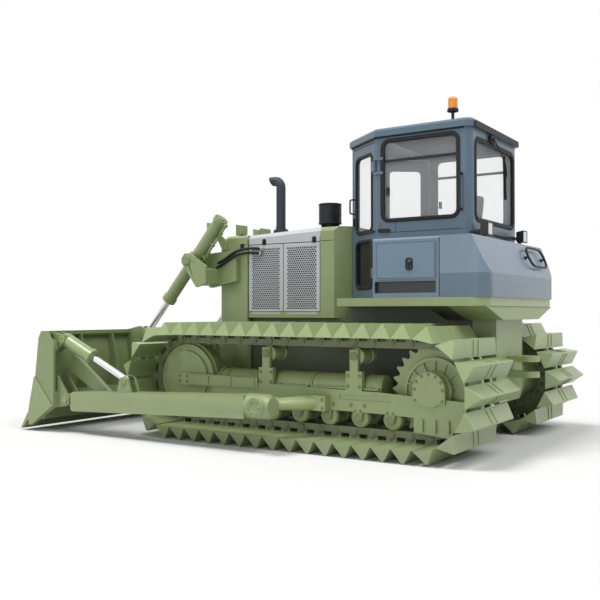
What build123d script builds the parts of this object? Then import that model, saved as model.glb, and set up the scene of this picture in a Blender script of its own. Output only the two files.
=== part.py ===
from build123d import *
import math
import os

# Swamp dozer on wide tracks. Millimetres, +X forward, +Y left, +Z up.
# The ground is z = 0 and the origin is under the middle of the whole machine.

# Undercarriage
track_gauge = 2300.0
shoe_width = 1100.0
link_pitch = 203.2
link_count = 43
wheel_pin_radius = 440.0
pin_to_shoe = 56.0
pin_to_rail = 50.0
shoe_gap = 6.0
ridge_height = 134.0
ridge_crest = 14.0
ridge_end_slope = 45.0
rail_inner = 80.0
rail_thick = 45.0
link_window = 92.0
link_window_depth = 42.0
running_fit = 0.6
tooth_thick = 64.0
tooth_rise = 18.0
tooth_drop = 34.0
sprocket_disc = 315.0
sprocket_rim = 32.0
sprocket_hub = 190.0
sprocket_ribs = 14
idler_disc = 306.0
idler_half = 112.0
frame_half = 190.0
frame_plate = 25.0
frame_height = 125.0
roller_count = 7
roller_radius = 100.0
roller_sides = 12
wheel_sides = 32
roller_half = 155.0
roller_shaft = 25.0
roller_ahead = 405.0
roller_spacing = 350.0
carrier_radius = 84.0
recoil_radius = 130.0
drive_cover_half = 162.0

# Body
deck_top = 1508.0
deck_thick = 83.0
deck_half = 1065.0
deck_ahead = 261.0
cab_half = 690.0
cab_overhang = 150.0
cab_side_length = 1040.0
cab_nose_length = 500.0
cab_nose_half = 318.0
cab_corner = 80.0
cab_wall = 50.0
cab_top = 3200.0
roof_thick = 86.0
roof_lip = 28.0
box_clear = 12.0
box_height = 592.0
tank_depth = 311.0
tank_band = 229.0
tank_slope = 158.0
tank_corner = 150.0
locker_setback = 170.0
locker_length = 722.0
cover_thick = 10.0
cover_border = 40.0
toe_low = 47.0
toe_high = 160.0
toe_depth = 45.0
ledge_depth = 55.0
door_gap = 6.0
door_thick = 42.0
door_frame = 75.0
hinge_pin = 9.0
glass_thick = 6.0
hood_half = 450.0
hood_rear_z = 2330.0
hood_front_z = 2285.0
hood_skirt = 120.0
hood_sheet = 22.0
hood_shoulder = 45.0
cowl_length = 330.0
grille_border = 48.0
grille_recess = 7.0
slot_pitch = 64.0
slot_height = 32.0
guard_length = 417.0
guard_half = 470.0
guard_low = 640.0
guard_nose = 150.0
nose_reach = 172.0
hull_half = 400.0
hull_bottom = 450.0
hull_top = 1300.0
hull_bevel = 90.0
stack_radius = 57.5
stack_setback = 163.0
stack_top = 2982.0
cleaner_radius = 138.0
cleaner_ahead = 140.0
drawbar_bore = 35.0
drawbar_half = 105.0
drawbar_reach = 200.0
lamp_width = 140.0
lamp_height = 135.0
lamp_depth = 85.0

# Blade and its linkage
blade_height = 1152.0
blade_depth = 529.0
blade_gap = 688.0
blade_overhang = 65.0
end_plate = 30.0
end_bit = 20.0
bit_length = 330.0
rib_thick = 24.0
arm_gap = 90.0
arm_width = 220.0
trunnion_ahead = 1480.0
trunnion_z = 465.0
trunnion_radius = 70.0
trunnion_cap = 122.0
cylinder_y = 650.0
yoke_reach = 251.0
yoke_z = 1995.0
yoke_half = 150.0
yoke_cheek = 35.0
yoke_pin = 35.0
lift_barrel_radius = 75.0
lift_barrel_half = 640.0
lift_rod_radius = 38.0
eye_behind = 100.0
eye_drop = 62.0
eye_half = 40.0
eye_radius = 60.0
ear_thick = 30.0
ear_gap = 5.0
tilt_span = 1013.0
tilt_barrel_radius = 78.0
tilt_ear_gap = 82.0
tilt_ear_thick = 28.0
tongue_half = 60.0
clevis_thick = 30.0
arm_pin_radius = 38.0
arm_pin_behind = 125.0

# Derived positions
wheelbase = (link_count * link_pitch - 2 * math.pi * wheel_pin_radius) / 2
chord_mid = wheel_pin_radius * math.cos(link_pitch / 2 / wheel_pin_radius)
shoe_depth = pin_to_shoe + ridge_height
wheel_reach = chord_mid + shoe_depth
overall_length = wheelbase + 2 * wheel_reach + blade_gap + blade_depth
axle_z = wheel_pin_radius + shoe_depth
sprocket_x = -overall_length / 2 + wheel_reach
idler_x = sprocket_x + wheelbase
tip = overall_length / 2
blade_back = tip - blade_depth
track_y = track_gauge / 2
arm_in = track_y + shoe_width / 2 + arm_gap
arm_out = arm_in + arm_width
arm_mid = (arm_in + arm_out) / 2
blade_half = arm_out + blade_overhang
tread_radius = chord_mid - pin_to_rail - running_fit
rail_low = axle_z - wheel_pin_radius + pin_to_rail
rail_high = axle_z + wheel_pin_radius - pin_to_rail
roller_z = rail_low + roller_radius + running_fit
carrier_z = rail_high - carrier_radius - running_fit
deck_low = deck_top - deck_thick
cab_rear = sprocket_x - cab_overhang
cab_kink = cab_rear + cab_side_length
cab_front = cab_kink + cab_nose_length
cowl_rear = cab_front + box_clear
grille_rear = cowl_rear + cowl_length
guard_front = idler_x + nose_reach
grille_front = guard_front - guard_length
pivot_x = sprocket_x + trunnion_ahead
yoke_x = guard_front + yoke_reach
eye_x = blade_back - eye_behind
eye_z = blade_height - eye_drop
lift_dir = Vector(eye_x - yoke_x, 0, eye_z - yoke_z).normalized()
lift_length = math.hypot(eye_x - yoke_x, eye_z - yoke_z)

os.makedirs("parts", exist_ok=True)


def slab(points, y0, y1, mode=Mode.ADD):
    """A closed outline in X and Z, made solid from y0 to y1."""
    with BuildSketch(Plane.XZ.offset(-y0)) as face:
        with BuildLine():
            Polyline(*points, close=True)
        make_face()
    extrude(face.sketch, amount=-(y1 - y0), mode=mode)


def plan(points, z0, z1, corner=0.0, mode=Mode.ADD):
    """An outline in X and Y, made solid from z0 to z1, its rearmost corners rounded."""
    with BuildSketch(Plane.XY.offset(z0)) as face:
        with BuildLine():
            Polyline(*points, close=True)
        make_face()
        if corner:
            fillet(face.vertices().group_by(Axis.X)[0], corner)
    extrude(face.sketch, amount=z1 - z0, mode=mode)


def across(points, x0, x1):
    """An outline in Y and Z, made solid from x0 to x1."""
    with BuildSketch(Plane.YZ.offset(x0)) as face:
        with BuildLine():
            Polyline(*points, close=True)
        make_face()
    extrude(face.sketch, amount=x1 - x0)


def block(x0, x1, y0, y1, z0, z1, mode=Mode.ADD):
    with Locations(((x0 + x1) / 2, (y0 + y1) / 2, (z0 + z1) / 2)):
        Box(x1 - x0, y1 - y0, z1 - z0, mode=mode)


def bar(start, end, radius, sides=0, mode=Mode.ADD):
    """A bar from one point to another, round or with the given number of flat sides."""
    a, b = Vector(*start), Vector(*end)
    with BuildSketch(Plane(origin=a, z_dir=b - a)) as face:
        if sides:
            RegularPolygon(radius, sides)
        else:
            Circle(radius)
    extrude(face.sketch, amount=(b - a).length, mode=mode)


def taper(start, end, r0, r1, sides):
    """A bar with the given number of sides that narrows from one point to another."""
    a, b = Vector(*start), Vector(*end)
    with BuildSketch(Plane(origin=a, z_dir=b - a)) as face:
        RegularPolygon(r0, sides)
    angle = math.degrees(math.atan2((r0 - r1) * math.cos(math.pi / sides), (b - a).length))
    extrude(face.sketch, amount=(b - a).length, taper=angle)


def bent(points, radius, sides):
    """A tube of flat sides along straight runs, mitred at each corner."""
    with BuildLine() as path:
        Polyline(*points)
    with BuildSketch(Plane(origin=path.line @ 0, z_dir=path.line % 0)) as face:
        RegularPolygon(radius, sides)
    sweep(face.sketch, path=path.line, transition=Transition.RIGHT)


def hand_in(part, node):
    part.label = node
    export_step(part, f"parts/{node}.step")


def hand_in_pair(part, node):
    hand_in(part, node + "_left")
    hand_in(mirror(part, about=Plane.XZ), node + "_right")


# Track: one loop of rail links with windows, and a triangular swamp shoe on each link
def loop_point(s):
    """A pin's place at the distance s along the pin line, counted from the rear."""
    quarter = wheel_pin_radius * math.pi / 2
    s = s % (2 * wheelbase + 4 * quarter)
    cx, angle = sprocket_x, math.pi + s / wheel_pin_radius
    if quarter < s < quarter + wheelbase:
        return sprocket_x + s - quarter, axle_z - wheel_pin_radius
    if quarter + wheelbase <= s <= 3 * quarter + wheelbase:
        cx, angle = idler_x, angle - wheelbase / wheel_pin_radius
    elif 3 * quarter + wheelbase < s < 3 * quarter + 2 * wheelbase:
        return idler_x - (s - 3 * quarter - wheelbase), axle_z + wheel_pin_radius
    elif s >= 3 * quarter + 2 * wheelbase:
        angle = angle - 2 * wheelbase / wheel_pin_radius
    return cx + wheel_pin_radius * math.cos(angle), axle_z + wheel_pin_radius * math.sin(angle)


pins = [loop_point((i - 0.5) * link_pitch) for i in range(link_count)]
bends = [(x, z) for x, z in pins if not (sprocket_x + link_pitch < x < idler_x - link_pitch)]

shoe_base = link_pitch - shoe_gap
with BuildPart() as shoe:
    Wedge(shoe_base, ridge_height, shoe_width, (shoe_base - ridge_crest) / 2, ridge_end_slope,
          (shoe_base + ridge_crest) / 2, shoe_width - ridge_end_slope,
          rotation=(90, 0, 0), align=(Align.CENTER, Align.MIN, Align.CENTER))

with BuildPart() as track:
    seats = []
    for i in range(link_count):
        first, second = Vector(pins[i][0], 0, pins[i][1]), Vector(pins[i - 1][0], 0, pins[i - 1][1])
        run = (second - first).normalized()
        out = Vector(-run.Z, 0, run.X)
        foot = (first + second) * 0.5 + Vector(0, track_y, 0) + out * pin_to_shoe
        seats.append(Plane(origin=foot, x_dir=run, z_dir=out))
    for side in (-1, 1):
        face_y = track_y + side * (rail_inner + rail_thick / 2) - rail_thick / 2
        with BuildSketch(Plane.XZ.offset(-face_y)) as rail:
            with BuildLine():
                Polyline(*bends, close=True)
            make_face()
            offset(amount=pin_to_shoe, kind=Kind.INTERSECTION)
        with BuildSketch(Plane.XZ.offset(-face_y)) as hole:
            with BuildLine():
                Polyline(*bends, close=True)
            make_face()
            offset(amount=-pin_to_rail, kind=Kind.INTERSECTION)
        extrude(rail.sketch - hole.sketch, amount=-rail_thick)
    with Locations(*seats):
        Box(link_window, shoe_width, 2 * link_window_depth, mode=Mode.SUBTRACT)
        add(shoe.part)
hand_in_pair(track.part, "track")

# Sprocket: pointed teeth between the rails, a ribbed disc outside them and the hub
tooth_root = wheel_pin_radius - tooth_drop
tooth_tip = wheel_pin_radius + tooth_rise
tooth_count = round(4 * math.pi * wheel_pin_radius / link_pitch)
tooth_half = math.pi * tooth_root / tooth_count
disc_y = track_y + tooth_thick / 2
with BuildPart() as sprocket:
    with BuildSketch(Plane.XZ.offset(-(track_y - tooth_thick / 2))):
        with Locations((sprocket_x, axle_z)):
            RegularPolygon(tooth_root, 2 * tooth_count)
        for k in range(tooth_count):
            with Locations(Location((sprocket_x, axle_z, 0), (0, 0, 360 * k / tooth_count))):
                Polygon((tooth_root - 12, -tooth_half * 0.86), (tooth_tip, -8), (tooth_tip, 8),
                        (tooth_root - 12, tooth_half * 0.86), align=None)
    extrude(amount=-tooth_thick)
    disc_out = disc_y + rail_inner - tooth_thick / 2
    bar((sprocket_x, disc_y, axle_z), (sprocket_x, disc_out, axle_z), sprocket_disc, wheel_sides)
    with BuildSketch(Plane.XZ.offset(-(disc_out - 22))) as well:
        with Locations((sprocket_x, axle_z)):
            RegularPolygon(sprocket_disc - sprocket_rim, wheel_sides)
            for k in range(sprocket_ribs):
                with Locations(Location((0, 0, 0), (0, 0, 360 * (k + 0.5) / sprocket_ribs))):
                    with Locations((sprocket_disc / 2, 0)):
                        Rectangle(sprocket_disc, 14, mode=Mode.SUBTRACT)
    extrude(well.sketch, amount=-30, mode=Mode.SUBTRACT)
    bar((sprocket_x, disc_y, axle_z), (sprocket_x, track_y + rail_inner + rail_thick + 3, axle_z),
        sprocket_hub, wheel_sides)
hand_in_pair(sprocket.part, "sprocket")

# Front idler: a wheel with a guiding flange between the rails, a raised disc each side and a hub
with BuildPart() as idler:
    for half, radius in ((idler_half, tread_radius), (rail_inner - 14, tread_radius + 24),
                         (idler_half + 26, idler_disc), (frame_half - frame_plate - running_fit, 62)):
        bar((idler_x, track_y - half, axle_z), (idler_x, track_y + half, axle_z), radius, wheel_sides)
hand_in_pair(idler.part, "idler")

# Rollers: a tread on each rail, joined by a slim shaft that the sprocket's teeth clear
roller_xs = [sprocket_x + roller_ahead + i * roller_spacing for i in range(roller_count)]
carrier_xs = [roller_xs[1] + 45, roller_xs[4] + 45]
with BuildPart() as rollers:
    for x in roller_xs:
        bar((x, track_y - rail_inner, roller_z), (x, track_y + rail_inner, roller_z), roller_shaft, 8)
        for s in (-1, 1):
            bar((x, track_y + s * (rail_inner - 14), roller_z), (x, track_y + s * roller_half, roller_z),
                roller_radius, roller_sides)
    for x in carrier_xs:
        bar((x, track_y - roller_half, carrier_z), (x, track_y + roller_half - 15, carrier_z),
            carrier_radius, roller_sides)
hand_in_pair(rollers.part, "rollers")

# Track frame: channel over the rollers, recoil tube, idler yoke, carrier posts, final drive
# cover, chain guard and the strut that carries the push arm
frame_low = roller_z + roller_radius + 34
frame_top = frame_low + frame_height
frame_rear = sprocket_x + 530
frame_front = idler_x - tread_radius - 40
frame_in = track_y - frame_half
frame_out = track_y + frame_half
walls = ((frame_out - frame_plate, frame_out), (frame_in, frame_in + frame_plate))
drive_rear = sprocket_x - 390
strut_x = pivot_x - 318
with BuildPart() as track_frame:
    block(frame_rear, frame_front, frame_in, frame_out, frame_low, frame_top)
    slab([(drive_rear + 80, roller_z + 30), (frame_rear, frame_low - 80), (frame_front, frame_low - 60),
          (frame_front, frame_top + 30), (frame_rear, frame_top), (drive_rear, frame_top - 48)], *walls[0])
    inner_rear = roller_xs[0] - 80
    slab([(inner_rear, frame_low - 85), (frame_front, frame_low - 60), (frame_front, frame_top + 30),
          (inner_rear, frame_top)], *walls[1])
    with BuildSketch(Plane.XZ.offset(-frame_out)) as groove:
        with Locations((frame_rear + 150, (frame_low + frame_top) / 2)):
            Rectangle(560, 54)
    extrude(groove.sketch, amount=10, mode=Mode.SUBTRACT)
    for y0, y1 in walls:
        slab([(frame_front - 620, axle_z - 72), (idler_x - 40, axle_z - 72), (idler_x + 60, axle_z - 50),
              (idler_x + 95, axle_z), (idler_x + 60, axle_z + 50), (idler_x - 40, axle_z + 62),
              (frame_front - 620, axle_z + 48)], y0, y1 + (14 if y0 > track_y else 0))
        for x in roller_xs:
            block(x - 46, x + 46, y0, y1, roller_z, frame_low - 50)
    for s in (-1, 1):
        for x in roller_xs:
            bar((x, track_y + s * roller_half, roller_z), (x, track_y + s * frame_half, roller_z),
                roller_shaft + 23, roller_sides)
    bar((frame_rear, track_y, frame_top + 18), (frame_front - 20, track_y, frame_top + 18),
        recoil_radius, wheel_sides)
    for x in carrier_xs:
        block(x - 90, x + 90, frame_out - 55, frame_out, frame_top - 40, frame_top + 190)
        block(x - 46, x + 46, frame_out - 37, frame_out, frame_top + 180, carrier_z + 65)
        bar((x, track_y + roller_half - 15, carrier_z), (x, frame_out + 12, carrier_z), 44, roller_sides)
    with BuildSketch(Plane.XZ.offset(-(frame_out - frame_plate))) as cover:
        with Locations((sprocket_x, axle_z + 23)):
            RegularPolygon(drive_cover_half, wheel_sides)
        with Locations((sprocket_x, axle_z - 42)):
            Rectangle(2 * drive_cover_half, 130)
    extrude(cover.sketch, amount=-(frame_plate + 30))
    hub_face = track_y + rail_inner + rail_thick + 3.5
    bar((sprocket_x, hub_face, axle_z), (sprocket_x, frame_out, axle_z), 110, roller_sides)
    slab([(drive_rear + 70, roller_z + 45), (drive_rear + 195, roller_z - 125),
          (sprocket_x + 160, roller_z - 95), (sprocket_x + 160, roller_z + 45)], *walls[0])
    for k in range(3):
        x = drive_rear + 200 + 130 * k
        block(x - 10, x + 10, frame_out - 20, frame_out + 30, roller_z - 80, roller_z + 35)
    block(strut_x - 92, strut_x + 92, frame_out - frame_plate, frame_out + 95,
          trunnion_z - 72, trunnion_z + 78)
    strut_end = arm_in - trunnion_radius + 5
    taper((strut_x + 40, frame_out + 20, trunnion_z), (pivot_x, strut_end, trunnion_z), 80, 58, roller_sides)
    bar((pivot_x, strut_end - 30, trunnion_z), (pivot_x, arm_mid + trunnion_cap + 10, trunnion_z),
        trunnion_radius, wheel_sides)
    bar((pivot_x, arm_mid + trunnion_cap + 10, trunnion_z), (pivot_x, arm_out + 40, trunnion_z),
        trunnion_radius + 25, wheel_sides)
hand_in_pair(track_frame.part, "track_frame")

# Hull between the tracks, with final drives, cross beams, the skirt under the tank and a drawbar
hull_section = [(-hull_half, deck_low), (-hull_half, hull_bottom + hull_bevel),
                (-hull_half + hull_bevel, hull_bottom), (hull_half - hull_bevel, hull_bottom),
                (hull_half, hull_bottom + hull_bevel), (hull_half, deck_low)]
front_section = [(y, min(z, hull_top)) for y, z in hull_section]
case_rear = cab_rear - 150
pin_x = case_rear - drawbar_reach
with BuildPart() as main_frame:
    across(hull_section, case_rear, cab_front)
    across(front_section, cab_front - 10, grille_front)
    bar((sprocket_x, -disc_y + tooth_thick + 1, axle_z), (sprocket_x, disc_y - tooth_thick - 1, axle_z),
        260, wheel_sides)
    for x, wide in ((idler_x - 680, 110), (frame_rear + 150, 80)):
        block(x - wide, x + wide, -frame_in, frame_in, frame_low + 15, frame_top)
    across([(-deck_half + 30, deck_low), (-hull_half - 160, deck_low - 135), (hull_half + 160, deck_low - 135),
            (deck_half - 30, deck_low)], case_rear - 130, cab_rear + 320)
    for z in (axle_z + 100, axle_z + 260):
        block(pin_x, case_rear + 10, -drawbar_half, drawbar_half, z - 30, z + 30)
        with Locations((pin_x, 0, z)):
            Cylinder(drawbar_half, 60)
    with Locations((pin_x, 0, axle_z + 180)):
        Cylinder(drawbar_bore, 320, mode=Mode.SUBTRACT)
hand_in(main_frame.part, "main_frame")

# Deck, lockers with their covers, and the tank behind the cab
deck_front = cab_kink + deck_ahead
tank_rear = cab_rear - tank_depth
locker_rear = cab_rear + locker_setback
locker_front = locker_rear + locker_length
box_top = deck_top + box_height
box_in = cab_half + box_clear
with BuildPart() as deck:
    plan([(tank_rear + 20, deck_half), (tank_rear + 20, -deck_half), (deck_front, -deck_half),
          (cab_front, -hull_half - 60), (cab_front, hull_half + 60), (deck_front, deck_half)],
         deck_low, deck_top, tank_corner)
hand_in(deck.part, "deck")

with BuildPart() as locker:
    face_y = deck_half - cover_thick
    block(locker_rear + 3, locker_front, box_in, face_y, deck_top, box_top)
    chamfer(locker.edges().filter_by(Axis.X).sort_by(Axis.Z)[-2:], 22)
    cover_low = deck_top + toe_high + 20
    with BuildSketch(Plane.XZ.offset(-face_y)) as cover:
        with Locations(((locker_rear + locker_front) / 2, (cover_low + box_top - 40) / 2)):
            RectangleRounded(locker_length - 2 * cover_border, box_top - 40 - cover_low, 25)
    extrude(cover.sketch, amount=-cover_thick)
    block(locker_rear + cover_border, locker_front - cover_border / 2, face_y - toe_depth, deck_half,
          deck_top + toe_low, deck_top + toe_high, mode=Mode.SUBTRACT)
hand_in_pair(locker.part, "locker")

with BuildPart() as tank:
    slab([(locker_rear, deck_top), (tank_rear, deck_top), (tank_rear, deck_top + tank_band),
          (tank_rear + tank_slope, box_top), (locker_rear, box_top)], -deck_half, deck_half)
    plan([(tank_rear, -deck_half), (tank_rear, deck_half), (locker_rear, deck_half),
          (locker_rear, -deck_half)], deck_top, box_top, tank_corner, mode=Mode.INTERSECT)
    block(cab_rear - box_clear, locker_rear + 5, -box_in, box_in, deck_top - 5, box_top + 5,
          mode=Mode.SUBTRACT)
hand_in(tank.part, "fuel_tank")

# Cab: hollow shell with window and door openings, then roof, glass and doors
kink = Vector(cab_kink, cab_half, 0)
nose = Vector(cab_front, cab_nose_half, 0)
facet_dir = (nose - kink).normalized()
facet_out = Vector(-facet_dir.Y, facet_dir.X, 0)
facet_mid = (kink + nose) * 0.5
door_w = (nose - kink).length - 76
door_z0, door_z1 = deck_top + box_clear, cab_top - 45
window_low, window_high = box_top + 225, cab_top - 15
window_z, window_h = (window_low + window_high) / 2, window_high - window_low
side_w = cab_side_length - 210
front_h = window_h + 120
pane_high = (door_z1 - door_z0 - 330) * 0.62
pane_low = (door_z1 - door_z0 - 330) * 0.38
pane_high_z = door_z1 - 110 - pane_high / 2
pane_low_z = door_z0 + 110 + pane_low / 2
hinge = kink + facet_dir * 14 + facet_out * 20
hinge_heights = (door_z0 + 260, door_z1 - 260)


def cab_plan(z, grow):
    """The cab's outline from above, grown outward, or inward where negative."""
    half = [(cab_rear, cab_half), (cab_kink, cab_half), (cab_front, cab_nose_half)]
    with BuildSketch(Plane.XY.offset(z)) as face:
        with BuildLine():
            Polyline(*half, *[(x, -y) for x, y in reversed(half)], close=True)
        make_face()
        fillet(face.vertices().group_by(Axis.X)[0], cab_corner)
        if grow:
            offset(amount=grow, kind=Kind.INTERSECTION)
    return face.sketch


def soft_corners(width, height, radius):
    """A rectangle round the origin, each corner cut by three flats that follow its rounding."""
    points = []
    for right, up, turn in ((1, 1, 0), (-1, 1, 90), (-1, -1, 180), (1, -1, 270)):
        for step in (0, 30, 60, 90):
            t = math.radians(turn + step)
            points.append((right * (width / 2 - radius) + radius * math.cos(t),
                           up * (height / 2 - radius) + radius * math.sin(t)))
    return points


def window(plane, width, height, radius, amount, mode):
    with BuildSketch(plane) as face:
        with BuildLine():
            Polyline(*soft_corners(width, height, radius), close=True)
        make_face()
    extrude(face.sketch, amount=amount, both=True, mode=mode)


def door_plane(z):
    """On the mid plane of the left door's panel at the height z."""
    middle = facet_mid - facet_out * (door_thick / 2)
    return Plane(origin=middle + Vector(0, 0, z), x_dir=facet_dir * -1, z_dir=facet_out)


side_plane = Plane(origin=((cab_rear + cab_kink) / 2 + 30, cab_half - cab_wall / 2, window_z),
                   x_dir=(-1, 0, 0), z_dir=(0, 1, 0))
rear_plane = Plane(origin=(cab_rear + cab_wall / 2, 0, window_z - 60), x_dir=(0, -1, 0), z_dir=(-1, 0, 0))
front_plane = Plane(origin=(cab_front - cab_wall / 2, 0, window_z - 60), x_dir=(0, 1, 0), z_dir=(1, 0, 0))
openings = ((side_plane, side_w, window_h, 70), (rear_plane, 2 * cab_half - 260, window_h - 60, 80),
            (front_plane, 2 * cab_nose_half - 112, front_h, 60))

with BuildPart() as cab_frame:
    extrude(cab_plan(deck_top, 0), amount=cab_top - deck_top)
    extrude(cab_plan(deck_top, -cab_wall), amount=cab_top - deck_top, mode=Mode.SUBTRACT)
    for plane, width, height, radius in openings:
        window(plane, width, height, radius, cab_wall, Mode.SUBTRACT)
    with BuildSketch(door_plane((door_z0 + door_z1) / 2)) as opening:
        Rectangle(door_w + 2 * door_gap, door_z1 - door_z0 + 2 * door_gap)
    extrude(opening.sketch, amount=120, both=True, mode=Mode.SUBTRACT)
    window(side_plane, side_w, window_h, 70, cab_wall, Mode.SUBTRACT)
    for z in hinge_heights:
        for dz in (-75, 75):
            plan([(kink.X - 80, kink.Y - 6), (kink.X - 80, kink.Y + 12), (hinge.X - 10, hinge.Y + 18),
                  (hinge.X + 16, hinge.Y + 6), (hinge.X + 10, hinge.Y - 16), (kink.X - 10, kink.Y - 6)],
                 z + dz - 15, z + dz + 15)
        bar((hinge.X, hinge.Y, z - 80), (hinge.X, hinge.Y, z + 80), hinge_pin)
    block(cab_rear - ledge_depth, cab_rear + cab_wall / 2, -cab_half + cab_corner, cab_half - cab_corner,
          box_top + 62, box_top + 86)
    split(bisect_by=Plane.XZ, keep=Keep.BOTTOM)
    mirror(about=Plane.XZ)
hand_in(cab_frame.part, "cab_frame")

with BuildPart() as cab_roof:
    extrude(cab_plan(cab_top, roof_lip), amount=roof_thick)
    chamfer(cab_roof.faces().sort_by(Axis.Z)[-1].edges(), 26)
hand_in(cab_roof.part, "cab_roof")

with BuildPart() as cab_glass:
    for plane, width, height, radius in openings:
        window(plane, width - 1, height - 1, radius - 0.5, glass_thick / 2, Mode.ADD)
    add(mirror(cab_glass.part, about=Plane.XZ))
hand_in(cab_glass.part, "cab_glass")

with BuildPart() as door:
    with BuildSketch(door_plane((door_z0 + door_z1) / 2)) as panel:
        Rectangle(door_w, door_z1 - door_z0)
    extrude(panel.sketch, amount=door_thick / 2, both=True)
    window(door_plane(pane_high_z), door_w - 2 * door_frame, pane_high, 60, door_thick, Mode.SUBTRACT)
    window(door_plane(pane_low_z), door_w - 2 * door_frame, pane_low, 60, door_thick, Mode.SUBTRACT)
    for z in hinge_heights:
        with BuildSketch(Plane.XY.offset(z - 54)) as knuckle:
            with Locations((hinge.X, hinge.Y)):
                Circle(2 * hinge_pin)
            leaf = [hinge, hinge + facet_dir * 90, hinge + facet_dir * 90 - facet_out * 24,
                    hinge + facet_dir * 40 - facet_out * 24]
            with BuildLine():
                Polyline(*[(p.X, p.Y) for p in leaf], close=True)
            make_face()
            with Locations((hinge.X, hinge.Y)):
                Circle(hinge_pin + 1, mode=Mode.SUBTRACT)
        extrude(knuckle.sketch, amount=108)
hand_in_pair(door.part, "door")

with BuildPart() as door_glass:
    for z, height in ((pane_high_z, pane_high), (pane_low_z, pane_low)):
        window(door_plane(z), door_w - 2 * door_frame - 1, height - 1, 59.5, glass_thick / 2, Mode.ADD)
hand_in_pair(door_glass.part, "door_glass")

seat_x = cab_rear + 480
with BuildPart() as seat:
    block(seat_x - 180, seat_x + 180, -180, 180, deck_top, deck_top + 330)
    block(seat_x - 240, seat_x + 270, -250, 250, deck_top + 330, deck_top + 470)
    slab([(seat_x - 250, deck_top + 400), (seat_x - 130, deck_top + 400),
          (seat_x - 210, deck_top + 1130), (seat_x - 310, deck_top + 1130)], -230, 230)
hand_in(seat.part, "seat")

with BuildPart() as console:
    for s in (-1, 1):
        y = s * (cab_half - 285)
        slab([(seat_x - 100, deck_top), (seat_x - 100, deck_top + 600), (seat_x + 250, deck_top + 560),
              (seat_x + 330, deck_top + 500), (seat_x + 280, deck_top)], y - 75, y + 75)
        bar((seat_x + 250, y, deck_top + 520), (seat_x + 285, y, deck_top + 760), 22, 12)
    dash = cab_front - cab_wall
    slab([(dash - 200, deck_top), (dash - 240, deck_top + 520), (dash - 150, deck_top + 640),
          (dash, deck_top + 600), (dash, deck_top)], -190, 190)
hand_in(console.part, "console")

# Hood: engine, cowl, slotted side panels, top and the radiator guard
skirt_low = hood_front_z - hood_skirt
stack_x = grille_front - stack_setback
clean_x = grille_rear + cleaner_ahead
pad_z = hood_rear_z + 6
with BuildPart() as engine:
    block(grille_rear + 40, grille_front - 60, -hood_half + 130, hood_half - 130, hull_top, skirt_low - 45)
hand_in(engine.part, "engine_block")

with BuildPart() as cowl:
    plan([(cowl_rear, -cab_nose_half + 18), (cowl_rear + 150, -hood_half), (grille_rear, -hood_half),
          (grille_rear, hood_half), (cowl_rear + 150, hood_half), (cowl_rear, cab_nose_half - 18)],
         hull_top, hood_rear_z)
    chamfer(cowl.faces().sort_by(Axis.Z)[-1].edges().filter_by(Axis.X), hood_shoulder)
hand_in(cowl.part, "cowl")

panel_length = (grille_front - grille_rear) / 2
mesh_length = panel_length - 2 * grille_border
mesh_height = skirt_low - hull_top - 2 * grille_border
panel_z = (hull_top + skirt_low) / 2
slot_rows = int((mesh_height - slot_height) / slot_pitch)
with BuildPart() as grille:
    block(grille_rear, grille_front, hood_half - hood_sheet, hood_half, hull_top, skirt_low)
    for k in range(2):
        middle = grille_rear + panel_length * (k + 0.5)
        with Locations((middle, hood_half, panel_z)):
            Box(mesh_length, 2 * grille_recess, mesh_height, mode=Mode.SUBTRACT)
        with BuildSketch(Plane.XZ.offset(-hood_half)) as slots:
            with Locations((middle, panel_z)):
                with GridLocations(0, slot_pitch, 1, slot_rows):
                    Rectangle(mesh_length - slot_height, slot_height)
        extrude(slots.sketch, amount=hood_sheet, mode=Mode.SUBTRACT)
hand_in_pair(grille.part, "side_grilles")

with BuildPart() as hood_top:
    slab([(grille_rear, skirt_low), (grille_front, skirt_low), (grille_front, hood_front_z),
          (grille_rear, hood_rear_z)], -hood_half, hood_half)
    top_edges = hood_top.faces().sort_by(Axis.Z)[-1].edges().sort_by(Axis.Y)
    chamfer([top_edges[0], top_edges[-1]], hood_shoulder)
    block(grille_rear - 5, grille_front + 5, -hood_half + hood_sheet, hood_half - hood_sheet,
          skirt_low - 5, hood_front_z - hood_shoulder - 6, mode=Mode.SUBTRACT)
    for x in (stack_x, clean_x):
        bar((x, 0, hood_front_z - 30), (x, 0, pad_z), 110, 2 * roller_sides)
hand_in(hood_top.part, "hood_top")

vent_low, vent_high = guard_low + 160, hood_front_z - 405
vent_bars = 9
with BuildPart() as radiator_guard:
    slab([(grille_front, guard_low), (guard_front, guard_low), (guard_front, hood_front_z),
          (grille_front, hood_front_z)], -guard_half, guard_half)
    fillet(radiator_guard.edges().filter_by(Axis.Y).group_by(Axis.Z)[-1].sort_by(Axis.X)[-1], guard_nose)
    chamfer(radiator_guard.edges().filter_by(Axis.Z).group_by(Axis.X)[-1], 30)
    block(guard_front - 60, guard_front + 5, -guard_half + 70, guard_half - 70, vent_low, vent_high,
          mode=Mode.SUBTRACT)
    for k in range(vent_bars):
        z = vent_low + (vent_high - vent_low) * (k + 0.5) / vent_bars
        block(guard_front - 65, guard_front - 12, -guard_half + 65, guard_half - 65, z - 14, z + 14)
hand_in(radiator_guard.part, "radiator_guard")

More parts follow.
